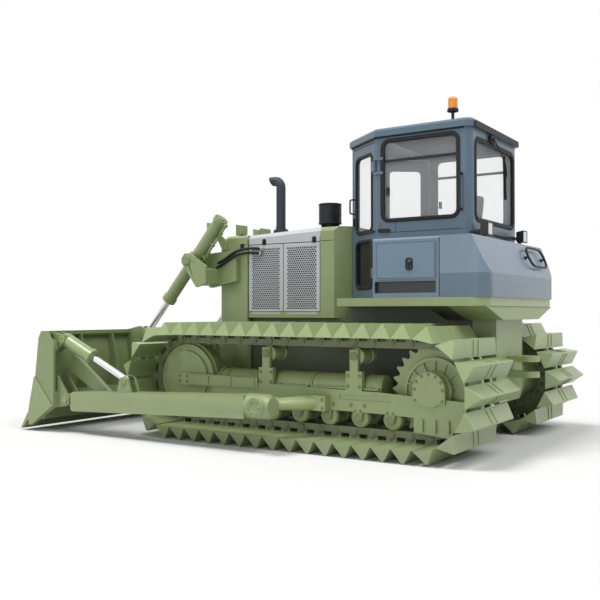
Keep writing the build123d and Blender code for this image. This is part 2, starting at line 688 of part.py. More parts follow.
with BuildPart() as exhaust:
    bar((stack_x, 0, pad_z), (stack_x, 0, pad_z + 40), stack_radius + 34, 2 * roller_sides)
    elbow = 1.45 * stack_radius
    turns = [math.radians(18 * k) for k in range(6)]
    curve = [(stack_x + elbow * (1 - math.cos(t)), 0, stack_top - elbow * (1 - math.sin(t))) for t in turns]
    mouth = stack_x + elbow + 0.9 * stack_radius
    bent([(stack_x, 0, pad_z + 20)] + curve + [(mouth + 30, 0, stack_top)], stack_radius, 2 * roller_sides)
    bar((stack_x + elbow, 0, stack_top), (mouth + 40, 0, stack_top), stack_radius - 6, 2 * roller_sides,
        mode=Mode.SUBTRACT)
    reach, lean = 1.4 * stack_radius, 0.63 * stack_radius
    slab([(mouth - lean, stack_top - reach), (mouth + lean, stack_top + reach), (mouth + 200, stack_top),
          (mouth + 200, stack_top - reach)], -100, 100, mode=Mode.SUBTRACT)
hand_in(exhaust.part, "exhaust_stack")

with BuildPart() as precleaner:
    for z0, z1, radius in ((0, 70, 90), (70, 84, cleaner_radius), (84, 296, cleaner_radius - 5),
                           (296, 310, cleaner_radius)):
        bar((clean_x, 0, pad_z + z0), (clean_x, 0, pad_z + z1), radius, 2 * roller_sides)
hand_in(precleaner.part, "precleaner")

# Beacon, lamps and grab handles
beacon_x, beacon_y = cab_rear + 285, cab_half - 240
roof_z = cab_top + roof_thick
with BuildPart() as beacon:
    for z0, z1, radius in ((0, 130, 16), (130, 165, 58), (165, 262, 50)):
        bar((beacon_x, beacon_y, roof_z + z0), (beacon_x, beacon_y, roof_z + z1), radius, roller_sides)
    taper((beacon_x, beacon_y, roof_z + 262), (beacon_x, beacon_y, roof_z + 290), 50, 30, roller_sides)
hand_in(beacon.part, "beacon")


def lamp(x, y, z, facing):
    """A tapered lamp housing with a sunk lens, its front at x and facing forward or back."""
    front = Plane(origin=(x, y, z), x_dir=(0, 1, 0), z_dir=(-facing, 0, 0))
    with BuildSketch(front) as shell:
        Rectangle(lamp_width, lamp_height)
    extrude(shell.sketch, amount=lamp_depth, taper=9)
    with BuildSketch(front) as lens:
        Rectangle(lamp_width - 24, lamp_height - 24)
    extrude(lens.sketch, amount=10, mode=Mode.SUBTRACT)


bracket_y = guard_half + 20
with BuildPart() as work_lamps:
    for s in (-1, 1):
        y = s * (cab_half - 155)
        lamp(cab_rear - 145, y, box_top + 22 + lamp_height / 2, -1)
        block(cab_rear - 95, cab_rear - 62, y - 20, y + 20, box_top, box_top + 60)
        lamp(guard_front - 128, s * 250, hood_front_z + 22 + lamp_height / 2, 1)
        block(guard_front - 212, guard_front - 170, s * 250 - 20, s * 250 + 20, hood_front_z, hood_front_z + 60)
        slab([(guard_front - 120, yoke_z + 128), (guard_front - 50, yoke_z + 128),
              (guard_front + 80, hood_front_z + 60), (guard_front + 80, hood_front_z + 110),
              (guard_front - 120, hood_front_z - 60)], s * guard_half, s * bracket_y)
        lamp(guard_front + 145, s * (bracket_y - 15), hood_front_z + 110, 1)
hand_in(work_lamps.part, "work_lamps")

with BuildPart() as handles:
    for s in (-1, 1):
        out = s * (cab_half + 60)
        x = cab_rear + cab_corner + 15
        bent([(x, s * cab_half, box_top + 285), (x, out, box_top + 285), (x, out, box_top + 635),
              (x, s * cab_half, box_top + 635)], 14, 8)
hand_in(handles.part, "grab_handles")

# Lift cylinders: chassis yoke, swinging barrel and sliding rod
cheek_in = cylinder_y - yoke_half
cheek_out = cylinder_y + yoke_half
yoke_nose = [(yoke_x - 55, yoke_z + 78), (yoke_x + 30, yoke_z + 82), (yoke_x + 80, yoke_z + 30),
             (yoke_x + 80, yoke_z - 30), (yoke_x + 40, yoke_z - 80), (yoke_x - 150, yoke_z - 330)]
with BuildPart() as yoke:
    slab([(grille_front + 120, yoke_z - 260), (grille_front + 120, yoke_z + 120)] + yoke_nose,
         guard_half, cheek_in + yoke_cheek)
    slab([(yoke_x - 300, yoke_z - 290), (yoke_x - 300, yoke_z - 80)] + yoke_nose,
         cheek_out - yoke_cheek, cheek_out)
    slab([(yoke_x - 300, yoke_z - 290), (yoke_x - 300, yoke_z - 120), (yoke_x - 190, yoke_z - 90),
          (yoke_x - 170, yoke_z - 310)], guard_half, cheek_out)
    bar((yoke_x, guard_half - 5, yoke_z), (yoke_x, cheek_out + 5, yoke_z), yoke_pin + 0.5, mode=Mode.SUBTRACT)
hand_in_pair(yoke.part, "lift_yoke")


def along(distance, side=0.0):
    """A point on the left lift cylinder, measured down from its trunnion and to its rear side."""
    return Vector(yoke_x, cylinder_y, yoke_z) + lift_dir * distance + Vector(lift_dir.Z, 0, -lift_dir.X) * side


with BuildPart() as lift_barrel:
    bar(along(-lift_barrel_half), along(lift_barrel_half), lift_barrel_radius, wheel_sides)
    for d0, d1, extra in ((-lift_barrel_half, -lift_barrel_half + 50, 14), (-70, 70, 23),
                          (lift_barrel_half - 60, lift_barrel_half, 12)):
        bar(along(d0), along(d1), lift_barrel_radius + extra, wheel_sides)
    bar((yoke_x, cheek_in + 3, yoke_z), (yoke_x, cheek_out - 3, yoke_z), yoke_pin, 2 * roller_sides)
    pipe = lift_barrel_radius + 34
    bar(along(-lift_barrel_half + 5, pipe), along(-105, pipe), 14, 8)
    for d in (-lift_barrel_half + 24, -lift_barrel_half / 2, -125):
        bar(along(d, lift_barrel_radius - 20), along(d, pipe + 12), 22, 8)
    bar(along(-lift_barrel_half + 60), along(lift_barrel_half + 5), lift_rod_radius + 1.2, 2 * roller_sides,
        mode=Mode.SUBTRACT)
hand_in_pair(lift_barrel.part, "lift_barrel")

with BuildPart() as lift_rod:
    bar(along(-lift_barrel_half + 780), along(lift_length - eye_radius / 2), lift_rod_radius)
    bar((eye_x, cylinder_y - eye_half, eye_z), (eye_x, cylinder_y + eye_half, eye_z), eye_radius,
        2 * roller_sides)
hand_in_pair(lift_rod.part, "lift_rod")


# Blade: curved moldboard with end plates, stiffeners and ears, and its cutting edge with end bits
def b(back, up):
    """A point of the blade's side view, in shares of its depth from the tip and of its height."""
    return (tip - back * blade_depth, up * blade_height)


high_pin = Vector(blade_back - 46, arm_mid, 0.913 * blade_height)
low_pin = Vector(blade_back - tilt_span, arm_mid, trunnion_z + 157)
arm_pin = Vector(blade_back - arm_pin_behind, arm_mid, 0.326 * blade_height)
ear_y = tilt_ear_gap / 2 + tilt_ear_thick / 2
edge_outline = [b(0, 0.019), b(0.042, 0.019), b(0.265, 0.13), b(0.223, 0.146)]
back_line = [b(0.59, 0.99), b(0.61, 0.9), b(0.69, 0.712), b(0.68, 0.55)]
bit_outline = edge_outline + [b(0.4, 0.25), b(0.372, 0.264), b(0.175, 0.158)]
plate_outline = [b(0.516, 0.929), b(0.603, 1), b(0.773, 1), b(1, 0.865), b(1, 0.248), b(0.333, 0.057),
                 b(0.19, 0.057), b(0.257, 0.236), b(0.416, 0.547)]
with BuildPart() as moldboard:
    with BuildSketch(Plane.XZ.offset(blade_half - end_bit)) as curve:
        with BuildLine():
            ThreePointArc(b(0.227, 0.139), b(0.624, 0.486), b(0.548, 0.946))
            Line(b(0.548, 0.946), b(0.601, 0.946))
            ThreePointArc(b(0.601, 0.946), b(0.677, 0.486), b(0.284, 0.122))
            Line(b(0.284, 0.122), b(0.227, 0.139))
        make_face()
    extrude(curve.sketch, amount=-2 * (blade_half - end_bit))
    inner = blade_half - end_bit - end_plate
    for s in (-1, 1):
        slab(plate_outline, s * inner, s * (blade_half - end_bit))
    slab([b(0.567, 0.929), b(0.567, 1), b(0.773, 1), b(0.773, 0.964), b(0.624, 0.929)], -inner, inner)
    slab([b(0.624, 0.26), b(1, 0.248), b(1, 0.408), b(0.605, 0.408)], -inner, inner)
    slab([b(0.662, 0.13), b(0.3, 0.1), b(0.27, 0.122), b(0.375, 0.2), b(0.48, 0.275), b(0.624, 0.278)],
         -inner, inner)
    for share in (-0.74, -0.5, -0.17, 0.17, 0.5, 0.74):
        y = share * blade_half
        slab(back_line + [b(0.59, 0.382), b(1, 0.382), b(0.955, 0.712), b(0.773, 0.981)],
             y - rib_thick / 2, y + rib_thick / 2)
    for s in (-1, 1):
        for t in (-1, 1):
            y = s * cylinder_y + t * (eye_half + ear_gap + ear_thick / 2)
            slab(back_line + [b(1.0, 0.6), (eye_x - 62, eye_z - 50), (eye_x - 72, eye_z + 15),
                              (eye_x - 30, eye_z + 66), (eye_x + 55, eye_z + 105)],
                 y - ear_thick / 2, y + ear_thick / 2)
            bar((eye_x, y, eye_z), (eye_x, y + t * (ear_thick / 2 + 18), eye_z), 46, roller_sides)
            y = s * arm_mid + t * ear_y
            slab([(high_pin.X, high_pin.Z - 60), (high_pin.X - 60, high_pin.Z - 12),
                  (high_pin.X - 35, high_pin.Z + 48), (high_pin.X + 15, high_pin.Z + 60),
                  b(0.756, 0.99), b(0.756, 0.781)], y - tilt_ear_thick / 2, y + tilt_ear_thick / 2)
            y = s * arm_mid + t * (tongue_half + 3 + clevis_thick / 2)
            slab([b(0.99, 0.25), (arm_pin.X - 10, arm_pin.Z - 70), (arm_pin.X - 65, arm_pin.Z - 35),
                  (arm_pin.X - 65, arm_pin.Z + 35), (arm_pin.X - 20, arm_pin.Z + 75), b(0.99, 0.56)],
                 y - clevis_thick / 2, y + clevis_thick / 2)
            bar((arm_pin.X, y - clevis_thick, arm_pin.Z), (arm_pin.X, y + clevis_thick, arm_pin.Z),
                arm_pin_radius + 0.5, roller_sides, mode=Mode.SUBTRACT)
        slab([b(0.6, 0.93), b(0.97, 0.91), b(1, 0.82), b(0.67, 0.8)], s * (arm_mid + ear_y + tilt_ear_thick),
             s * inner)
    slab(edge_outline, -blade_half - 5, blade_half + 5, mode=Mode.SUBTRACT)
    for s in (-1, 1):
        slab(bit_outline, s * (blade_half - bit_length), s * blade_half, mode=Mode.SUBTRACT)
hand_in(moldboard.part, "moldboard")

with BuildPart() as cutting_edge:
    slab(edge_outline, -blade_half, blade_half)
    for s in (-1, 1):
        slab(bit_outline, s * (blade_half - bit_length), s * blade_half)
        slab([b(0.412, 0.547), b(0.253, 0.236), b(0.2, 0.13), b(0.3, 0.06), b(0.345, 0.062), b(0.985, 0.262)],
             s * (blade_half - end_bit), s * blade_half)
hand_in(cutting_edge.part, "cutting_edge")

# Push arms, the tilt cylinder on the left, the brace on the right and the inclined braces
arm_rear = pivot_x + 156
arm_front = arm_pin.X - 110
tilt_dir = (high_pin - low_pin).normalized()
tilt_mid = low_pin + (high_pin - low_pin) * 0.55
pin_reach = Vector(0, tilt_ear_gap / 2, 0)
with BuildPart() as push_arm:
    slab([(arm_rear, trunnion_z - 123), (arm_rear, trunnion_z + 101), (arm_front - 30, trunnion_z + 10),
          (arm_front, trunnion_z - 15), (arm_front, trunnion_z - 190), (arm_front - 30, trunnion_z - 205)],
         arm_in, arm_out)
    slab([(arm_front - 20, arm_pin.Z - 75), (arm_front - 20, arm_pin.Z + 75), (arm_pin.X + 20, arm_pin.Z + 70),
          (arm_pin.X + 70, arm_pin.Z + 25), (arm_pin.X + 70, arm_pin.Z - 25), (arm_pin.X + 20, arm_pin.Z - 70)],
         arm_mid - tongue_half, arm_mid + tongue_half)
    pin_half = tongue_half + 3 + clevis_thick + 14
    bar((arm_pin.X, arm_mid - pin_half, arm_pin.Z), (arm_pin.X, arm_mid + pin_half, arm_pin.Z),
        arm_pin_radius, roller_sides)
    cap_z = trunnion_z - 5
    bar((pivot_x - 75, arm_mid, cap_z), (arm_rear + 10, arm_mid, cap_z), trunnion_cap, wheel_sides)
    taper((pivot_x - 75, arm_mid, cap_z), (pivot_x - 115, arm_mid, cap_z), trunnion_cap,
          trunnion_cap - 30, wheel_sides)
    for t in (-1, 1):
        y = arm_mid + t * ear_y
        slab([(low_pin.X - 140, trunnion_z - 25), (low_pin.X - 60, low_pin.Z + 30),
              (low_pin.X, low_pin.Z + 60), (low_pin.X + 60, low_pin.Z), (low_pin.X + 120, trunnion_z - 25)],
             y - tilt_ear_thick / 2, y + tilt_ear_thick / 2)
    bar((pivot_x, arm_in - 40, trunnion_z), (pivot_x, arm_out + 40, trunnion_z), trunnion_radius + 1,
        mode=Mode.SUBTRACT)
hand_in_pair(push_arm.part, "push_arm")

with BuildPart() as tilt_barrel:
    bar(tilt_mid, high_pin - tilt_dir * 60, tilt_barrel_radius, 2 * roller_sides)
    bar(tilt_mid, tilt_mid + tilt_dir * 50, tilt_barrel_radius + 12, 2 * roller_sides)
    bar(high_pin - pin_reach, high_pin + pin_reach, 70, 2 * roller_sides)
hand_in(tilt_barrel.part, "tilt_barrel")

with BuildPart() as tilt_rod:
    bar(low_pin, tilt_mid, lift_rod_radius, 2 * roller_sides)
    bar(low_pin - pin_reach, low_pin + pin_reach, 65, 2 * roller_sides)
hand_in(tilt_rod.part, "tilt_rod")

with BuildPart() as brace:
    low, high = Vector(low_pin.X, -arm_mid, low_pin.Z), Vector(high_pin.X, -arm_mid, high_pin.Z)
    bar(low, high, lift_rod_radius, roller_sides)
    bar(low + (high - low) * 0.3, low + (high - low) * 0.57, 62, roller_sides)
    bar(low - pin_reach, low + pin_reach, 65, 2 * roller_sides)
    bar(high - pin_reach, high + pin_reach, 70, 2 * roller_sides)
hand_in(brace.part, "brace_right")

with BuildPart() as inclined:
    for s in (-1, 1):
        slab([(blade_back - 720, trunnion_z - 60), (blade_back - 560, trunnion_z - 90),
              b(1, 0.59), b(1, 0.76), (blade_back - 80, 0.745 * blade_height)], s * (arm_in - 60), s * arm_in)
hand_in(inclined.part, "diagonal_braces")

# Hoses that rise from the yoke to the hood's front corner on each side
with BuildPart() as hoses:
    for s in (-1, 1):
        for k in (0, 1):
            x0, z0, out = guard_front - 20 - 15 * k, yoke_z - 85 + 52 * k, cheek_in + yoke_cheek
            rise = [(0, 0, 18), (-70, 20, 18), (-170, 78, 18), (-280, 132, 18), (-380, 156, -10),
                    (-490, 165, -48)]
            bent([(x0, s * out, z0)] + [(x0 + dx, s * (out + dy), z0 + dz) for dx, dz, dy in rise]
                 + [(x0 - 575, s * (hood_half + 30), z0 + 152), (x0 - 575, s * hood_half, z0 + 152)], 15, 8)
hand_in(hoses.part, "lift_hoses")
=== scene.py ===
import math
import bmesh
import bpy
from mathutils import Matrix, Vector


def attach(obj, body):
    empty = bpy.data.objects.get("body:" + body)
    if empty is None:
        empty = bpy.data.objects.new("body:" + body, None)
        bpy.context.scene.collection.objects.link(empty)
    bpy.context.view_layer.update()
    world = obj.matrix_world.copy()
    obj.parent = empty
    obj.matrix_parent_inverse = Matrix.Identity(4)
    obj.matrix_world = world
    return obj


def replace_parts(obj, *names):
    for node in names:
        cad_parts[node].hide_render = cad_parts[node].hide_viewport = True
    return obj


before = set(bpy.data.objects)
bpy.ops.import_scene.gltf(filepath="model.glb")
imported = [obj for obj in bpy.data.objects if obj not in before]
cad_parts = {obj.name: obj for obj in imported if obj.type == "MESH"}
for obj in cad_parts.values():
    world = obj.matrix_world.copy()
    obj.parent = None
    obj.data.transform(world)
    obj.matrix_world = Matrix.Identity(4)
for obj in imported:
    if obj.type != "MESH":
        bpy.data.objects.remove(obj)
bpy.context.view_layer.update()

# Camera, fitted to the photograph
SENSOR = 36.0
LENS = 49.66
CAMERA = (-5.276, 8.380, 1.363)
HEADING = math.radians(33.15)
PITCH = math.radians(0.867)

# Places repeated from the part's source, in metres
SX, IX, AXLE = -2.10175, 0.88475, 0.630
TRACK_Y, PIN_R, LINK = 1.150, 0.440, 0.2032
CAB_REAR, CAB_KINK, CAB_FRONT = -2.25175, -1.21175, -0.71175
CAB_HALF, NOSE_HALF, CAB_TOP, ROOF = 0.690, 0.318, 3.200, 0.086
DECK_TOP, BOX_TOP, DECK_HALF = 1.508, 2.100, 1.065
TANK_REAR, TANK_BAND, TANK_SLOPE = -2.56275, 0.229, 0.158
LOCKER_REAR, LOCKER_FRONT = -2.08175, -1.35975
HOOD_HALF, HOOD_REAR_Z, HOOD_FRONT_Z, SKIRT, HULL_TOP = 0.450, 2.330, 2.285, 2.165, 1.300
COWL_REAR, GRILLE_REAR, GRILLE_FRONT, GUARD_FRONT = -0.69975, -0.36975, 0.63975, 1.05675
GUARD_HALF, GRILLE_LOW = 0.470, 1.374
FRAME_OUT = TRACK_Y + 0.190
ROLLER_Z = 0.3406
ROLLERS = [SX + 0.405 + 0.350 * i for i in range(7)]
CARRIERS = [ROLLERS[1] + 0.045, ROLLERS[4] + 0.045]
CARRIER_Z = 0.9354
YOKE = Vector((1.30775, 0.650, 1.995))
EYE = Vector((2.09107, 0.650, 1.090))
TIP, BLADE_BACK, BLADE_TALL, BLADE_DEEP = 2.72007, 2.19107, 1.152, 0.529
ARM_OUT, ARM_MID = 2.010, 1.900
PIVOT = Vector((-0.62175, 1.900, 0.465))
KINK, NOSE = Vector((CAB_KINK, CAB_HALF, 0)), Vector((CAB_FRONT, NOSE_HALF, 0))
FACET = (NOSE - KINK).normalized()
FACET_OUT = Vector((-FACET.y, FACET.x, 0))
SIDES = (("left", 1), ("right", -1))


def camera():
    data = bpy.data.cameras.new("camera")
    data.sensor_width = SENSOR
    data.lens = LENS
    data.clip_end = 200
    eye = bpy.data.objects.new("camera", data)
    eye.location = CAMERA
    eye.rotation_euler = (math.pi / 2 + PITCH, 0, math.pi + HEADING)
    bpy.context.scene.collection.objects.link(eye)
    bpy.context.scene.camera = eye


# Materials

class Nodes:
    """A material's node tree with short calls for the nodes used here."""

    def __init__(self, name):
        self.material = bpy.data.materials.new(name)
        self.material.use_nodes = True
        self.tree = self.material.node_tree
        self.shader = self.tree.nodes["Principled BSDF"]
        self.place = self.new("ShaderNodeTexCoord").outputs["Object"]

    def new(self, kind, **values):
        node = self.tree.nodes.new(kind)
        for key, value in values.items():
            setattr(node, key, value)
        return node

    def link(self, a, b):
        self.tree.links.new(a, b)

    def noise(self, scale, detail=3.0, rough=0.55):
        node = self.new("ShaderNodeTexNoise")
        node.inputs["Scale"].default_value = scale
        node.inputs["Detail"].default_value = detail
        node.inputs["Roughness"].default_value = rough
        self.link(self.place, node.inputs["Vector"])
        return node.outputs["Fac"]

    def span(self, value, a, b, low=0.0, high=1.0):
        node = self.new("ShaderNodeMapRange")
        for key, v in (("From Min", a), ("From Max", b), ("To Min", low), ("To Max", high)):
            node.inputs[key].default_value = v
        self.link(value, node.inputs["Value"])
        return node.outputs["Result"]

    def math(self, kind, a, b=None):
        node = self.new("ShaderNodeMath", operation=kind)
        for socket, value in zip(node.inputs, (a, b)):
            if isinstance(value, (int, float)):
                socket.default_value = value
            elif value is not None:
                self.link(value, socket)
        return node.outputs["Value"]

    def mix(self, share, a, b):
        node = self.new("ShaderNodeMix", data_type="RGBA")
        self.link(share, node.inputs["Factor"])
        for socket, value in ((node.inputs[6], a), (node.inputs[7], b)):
            if isinstance(value, tuple):
                socket.default_value = (*value, 1)
            else:
                self.link(value, socket)
        return node.outputs[2]

    def axis(self, name):
        node = self.new("ShaderNodeSeparateXYZ")
        self.link(self.place, node.inputs[0])
        return node.outputs[name]

    def from_loop(self):
        """Nought on the chain's rails and one on the shoes, by the distance from the track's pin line."""
        x, z = self.axis("X"), self.math("SUBTRACT", self.axis("Z"), AXLE)
        over = self.math("SUBTRACT", x, self.math("MINIMUM", self.math("MAXIMUM", x, SX), IX))
        square = self.math("ADD", self.math("MULTIPLY", over, over), self.math("MULTIPLY", z, z))
        far = self.math("SQRT", square)
        return self.span(far, PIN_R + 0.035, PIN_R + 0.056)

    def bump(self, height, strength, distance):
        node = self.new("ShaderNodeBump")
        node.inputs["Strength"].default_value = strength
        node.inputs["Distance"].default_value = distance
        self.link(height, node.inputs["Height"])
        self.link(node.outputs["Normal"], self.shader.inputs["Normal"])

    def set(self, **values):
        for key, value in values.items():
            socket = self.shader.inputs[key.replace("_", " ")]
            socket.default_value = (*value, 1) if isinstance(value, tuple) else value


def shade(colour, by):
    return tuple(min(1.0, c * by) for c in colour)


def paint(name, colour, rough=0.42, metallic=0.0, coat=0.15, dust=0.35, second=None, where=None, below=(),
          grease_and_shade=0.0, peel=0.04):
    """Sprayed paint: mottled tone, orange peel, dust that gathers low, other colours by place (some of them
    painted shade), and chain rails darkened for grease and painted shade.
    """
    n = Nodes(name)
    patch = n.noise(1.7, 4.0)
    fine = n.noise(38.0, 2.0)
    tone = n.mix(n.span(patch, 0.3, 0.7), shade(colour, 0.93), shade(colour, 1.06))
    if second:
        share = None
        for axis, most in where:
            beyond = n.span(n.math("ABSOLUTE", n.axis(axis)), most - 0.001, most + 0.001)
            share = beyond if share is None else n.math("MAXIMUM", share, beyond)
        tone = n.mix(share, second, tone)
    for colour_below, axis, most in below:
        tone = n.mix(n.span(n.axis(axis), most - 0.001, most + 0.001), colour_below, tone)
    # Chain rails darker than the shoes: grease and painted shade of the chain.
    if grease_and_shade:
        tone = n.mix(n.from_loop(), shade(colour, 1.0 - grease_and_shade), tone)
    low = n.span(n.axis("Z"), 1.0, 0.15, 0.0, dust)
    grime = n.math("MULTIPLY", low, n.span(n.noise(5.5, 5.0, 0.65), 0.42, 0.72))
    n.link(n.mix(grime, tone, DUST), n.shader.inputs["Base Color"])
    n.link(n.span(fine, 0.3, 0.7, rough - 0.05, rough + 0.08), n.shader.inputs["Roughness"])
    n.set(Metallic=metallic, Coat_Weight=coat, Coat_Roughness=0.25)
    n.bump(n.noise(70.0, 1.0), peel, 0.002)
    return n.material


def plastic(name, colour, rough=0.5, grain=700.0, depth=0.12):
    n = Nodes(name)
    n.link(n.mix(n.span(n.noise(6.0), 0.35, 0.65), shade(colour, 0.85), shade(colour, 1.2)),
           n.shader.inputs["Base Color"])
    n.link(n.span(n.noise(55.0, 2.0), 0.3, 0.7, rough - 0.07, rough + 0.08), n.shader.inputs["Roughness"])
    n.set(Specular_IOR_Level=0.3)
    n.bump(n.noise(grain, 2.0), depth, 0.002)
    return n.material


def metal(name, colour, rough):
    n = Nodes(name)
    n.link(n.mix(n.noise(60.0, 3.0), shade(colour, 0.9), colour), n.shader.inputs["Base Color"])
    n.link(n.span(n.noise(3.0, 4.0), 0.3, 0.7, rough, rough + 0.12), n.shader.inputs["Roughness"])
    n.set(Metallic=1.0)
    n.bump(n.noise(240.0, 2.0), 0.03, 0.001)
    return n.material


def glass(name, tint, clear, dark_below=None):
    """Thin window glass: mostly clear, faintly dusty, with a mirror gloss."""
    n = Nodes(name)
    film = n.span(n.noise(2.2, 4.0), 0.35, 0.75)
    n.link(n.mix(film, tint, shade(tint, 0.9)), n.shader.inputs["Base Color"])
    n.link(n.span(n.noise(14.0, 4.0), 0.5, 0.8, 0.02, 0.10), n.shader.inputs["Roughness"])
    n.set(IOR=1.45, Alpha=1.0 - clear)
    if dark_below:
        low = n.span(n.axis("Z"), dark_below - 0.001, dark_below + 0.001)
        n.link(n.mix(low, DARK, tint), n.shader.inputs["Base Color"])
        n.link(n.span(low, 0.0, 1.0, 0.93, 1.0 - clear), n.shader.inputs["Alpha"])
    n.material.surface_render_method = "BLENDED"
    return n.material


GREEN = (0.222, 0.278, 0.124)
SILVER = (0.415, 0.434, 0.447)
DARK = (0.010, 0.012, 0.014)
DUST = (0.270, 0.261, 0.216)
M = {
    "green": paint("sage_green", GREEN, rough=0.34, coat=0.25, peel=0.02),
    # Track green, its chain rails darkened for grease and painted shade.
    "track": paint("track_green", (0.254, 0.318, 0.148), rough=0.38, dust=0.4, coat=0.2, grease_and_shade=0.42),
    # Blade paint is the body green made darker: painted shade on the blade.
    "blade": paint("blade_green_painted_shade", shade(GREEN, 0.84), rough=0.34, coat=0.25, peel=0.02),
    # Hull near black: grime and painted shade between the tracks; its rear end keeps the body green.
    "hull": paint("hull_grime_and_shade", (0.056, 0.068, 0.036), dust=0.2, below=((GREEN, "X", SX - 0.050),)),
    "lamp": paint("lamp_green", GREEN, below=((DARK, "X", 0.0),)),
    # Frame paint is the body green made lighter: painted light on the undercarriage frames, rollers and
    # wheels.
    "frame": paint("frame_green_painted_light", (0.312, 0.382, 0.174), rough=0.36, coat=0.2, dust=0.4),
    # Behind the cab's rear face the blue grey turns dark: painted shade under the cab's rear overhang.
    "grey": paint("blue_grey", (0.067, 0.112, 0.156), rough=0.36, coat=0.2, peel=0.02,
                  below=((DARK, "X", CAB_REAR - 0.006),)),
    "roof": paint("roof_grey", (0.066, 0.112, 0.154), rough=0.36, coat=0.2, peel=0.02),
    "locker": paint("locker_grey", (0.110, 0.171, 0.233), rough=0.34, coat=0.3, second=DARK,
                    where=(("Y", DECK_HALF - 0.030), ("Z", DECK_TOP + 0.170))),
    "tank": paint("tank_grey", (0.134, 0.194, 0.256), rough=0.36, coat=0.45, second=(0.074, 0.121, 0.165),
                  where=(("Z", DECK_TOP + TANK_BAND),), peel=0.01),
    "silver": paint("silver_sheet", SILVER, rough=0.40, metallic=0.35),
    # Silver sheet, green below the grille; inside the hood face the recess is dark: painted shade of the
    # engine bay seen through the holes.
    "grille": paint("grille_sheet_shaded_recess", SILVER, rough=0.40, metallic=0.35, second=DARK,
                    where=(("Y", HOOD_HALF - 0.0035),), below=((GREEN, "Z", GRILLE_LOW),)),
    "slate": paint("slate_stack", (0.010, 0.018, 0.031), rough=0.55, coat=0.0),
    "black": plastic("black_plastic", (0.008, 0.010, 0.014)),
    "rubber": plastic("black_rubber", (0.007, 0.008, 0.010), rough=0.6, grain=300.0),
    "chrome": metal("chrome_rod", (0.78, 0.79, 0.80), 0.10),
    "bolt": paint("bolt_green", shade(GREEN, 0.86), rough=0.46, dust=0.3, peel=0.02),
    "steel": metal("bare_steel", (0.42, 0.41, 0.39), 0.32),
    "iron": paint("engine_iron", (0.05, 0.053, 0.053), rough=0.6, coat=0.0, peel=0.2),
    "lining": plastic("cab_lining", (0.020, 0.024, 0.028), rough=0.75, grain=260.0, depth=0.3),
    "glass": glass("window_glass", (0.93, 0.97, 0.98), 0.90),
    "door_glass": glass("door_pane_glass", (0.93, 0.97, 0.98), 0.90, dark_below=2.170),
    "lens": glass("lamp_lens", (0.90, 0.92, 0.92), 0.35),
    "mirror": metal("lamp_mirror", (0.82, 0.82, 0.82), 0.16),
}


def cloth(name, colour):
    n = Nodes(name)
    wave = [n.new("ShaderNodeTexWave", wave_type="BANDS", bands_direction=d) for d in ("X", "Y")]
    for w in wave:
        w.inputs["Scale"].default_value = 120.0
        n.link(n.place, w.inputs["Vector"])
    weave = n.math("MULTIPLY", wave[0].outputs["Fac"], wave[1].outputs["Fac"])
    thread = n.span(weave, 0.1, 0.7)
    n.link(n.mix(thread, shade(colour, 0.7), shade(colour, 1.3)), n.shader.inputs["Base Color"])
    n.set(Roughness=0.85, Sheen_Weight=0.3)
    n.bump(weave, 0.35, 0.002)
    return n.material


def amber(name):
    n = Nodes(name)
    ribs = n.new("ShaderNodeTexWave", wave_type="BANDS", bands_direction="Z")
    ribs.inputs["Scale"].default_value = 28.0
    n.link(n.place, ribs.inputs["Vector"])
    n.link(n.mix(ribs.outputs["Fac"], (0.72, 0.21, 0.008), (0.92, 0.36, 0.02)), n.shader.inputs["Base Color"])
    n.set(Roughness=0.18, Coat_Weight=0.5, Transmission_Weight=0.15)
    n.bump(ribs.outputs["Fac"], 0.2, 0.003)
    return n.material


M["cloth"] = cloth("seat_cloth", (0.035, 0.037, 0.042))
M["amber"] = amber("amber_lens")


# Shapes

def lathe(bm, origin, axis, profile, sides=32):
    """Turns pairs of distance along the axis and radius about it."""
    axis = Vector(axis).normalized()
    u = axis.orthogonal().normalized()
    v = axis.cross(u)
    rings = []
    for d, r in profile:
        c = Vector(origin) + axis * d
        if r < 1e-6:
            rings.append([bm.verts.new(c)] * sides)
        else:
            rings.append([bm.verts.new(c + (u * math.cos(t) + v * math.sin(t)) * r)
                          for t in (2 * math.pi * k / sides for k in range(sides))])
    for a, b in zip(rings, rings[1:]):
        for k in range(sides):
            j = (k + 1) % sides
            corners = list(dict.fromkeys((a[k], a[j], b[j], b[k])))
            if len(corners) > 2:
                bm.faces.new(corners)


def prism(bm, outline, offset):
    """A closed outline of points, made solid along the offset."""
    low = [bm.verts.new(Vector(p)) for p in outline]
    high = [bm.verts.new(Vector(p) + Vector(offset)) for p in outline]
    bm.faces.new(low)
    bm.faces.new(high)
    for k in range(len(low)):
        j = (k + 1) % len(low)
        bm.faces.new((low[k], low[j], high[j], high[k]))


def box(bm, lo, hi):
    (x0, y0, z0), (x1, y1, z1) = lo, hi
    prism(bm, [(x0, y0, z0), (x1, y0, z0), (x1, y1, z0), (x0, y1, z0)], (0, 0, z1 - z0))


def rounded(width, height, radius, steps=6):
    """A rounded rectangle round the origin, as pairs."""
    points = []
    for cx, cy, turn in ((1, 1, 0), (-1, 1, 90), (-1, -1, 180), (1, -1, 270)):
        for k in range(steps + 1):
            t = math.radians(turn + 90 * k / steps)
            points.append((cx * (width / 2 - radius) + radius * math.cos(t),
                           cy * (height / 2 - radius) + radius * math.sin(t)))
    return points


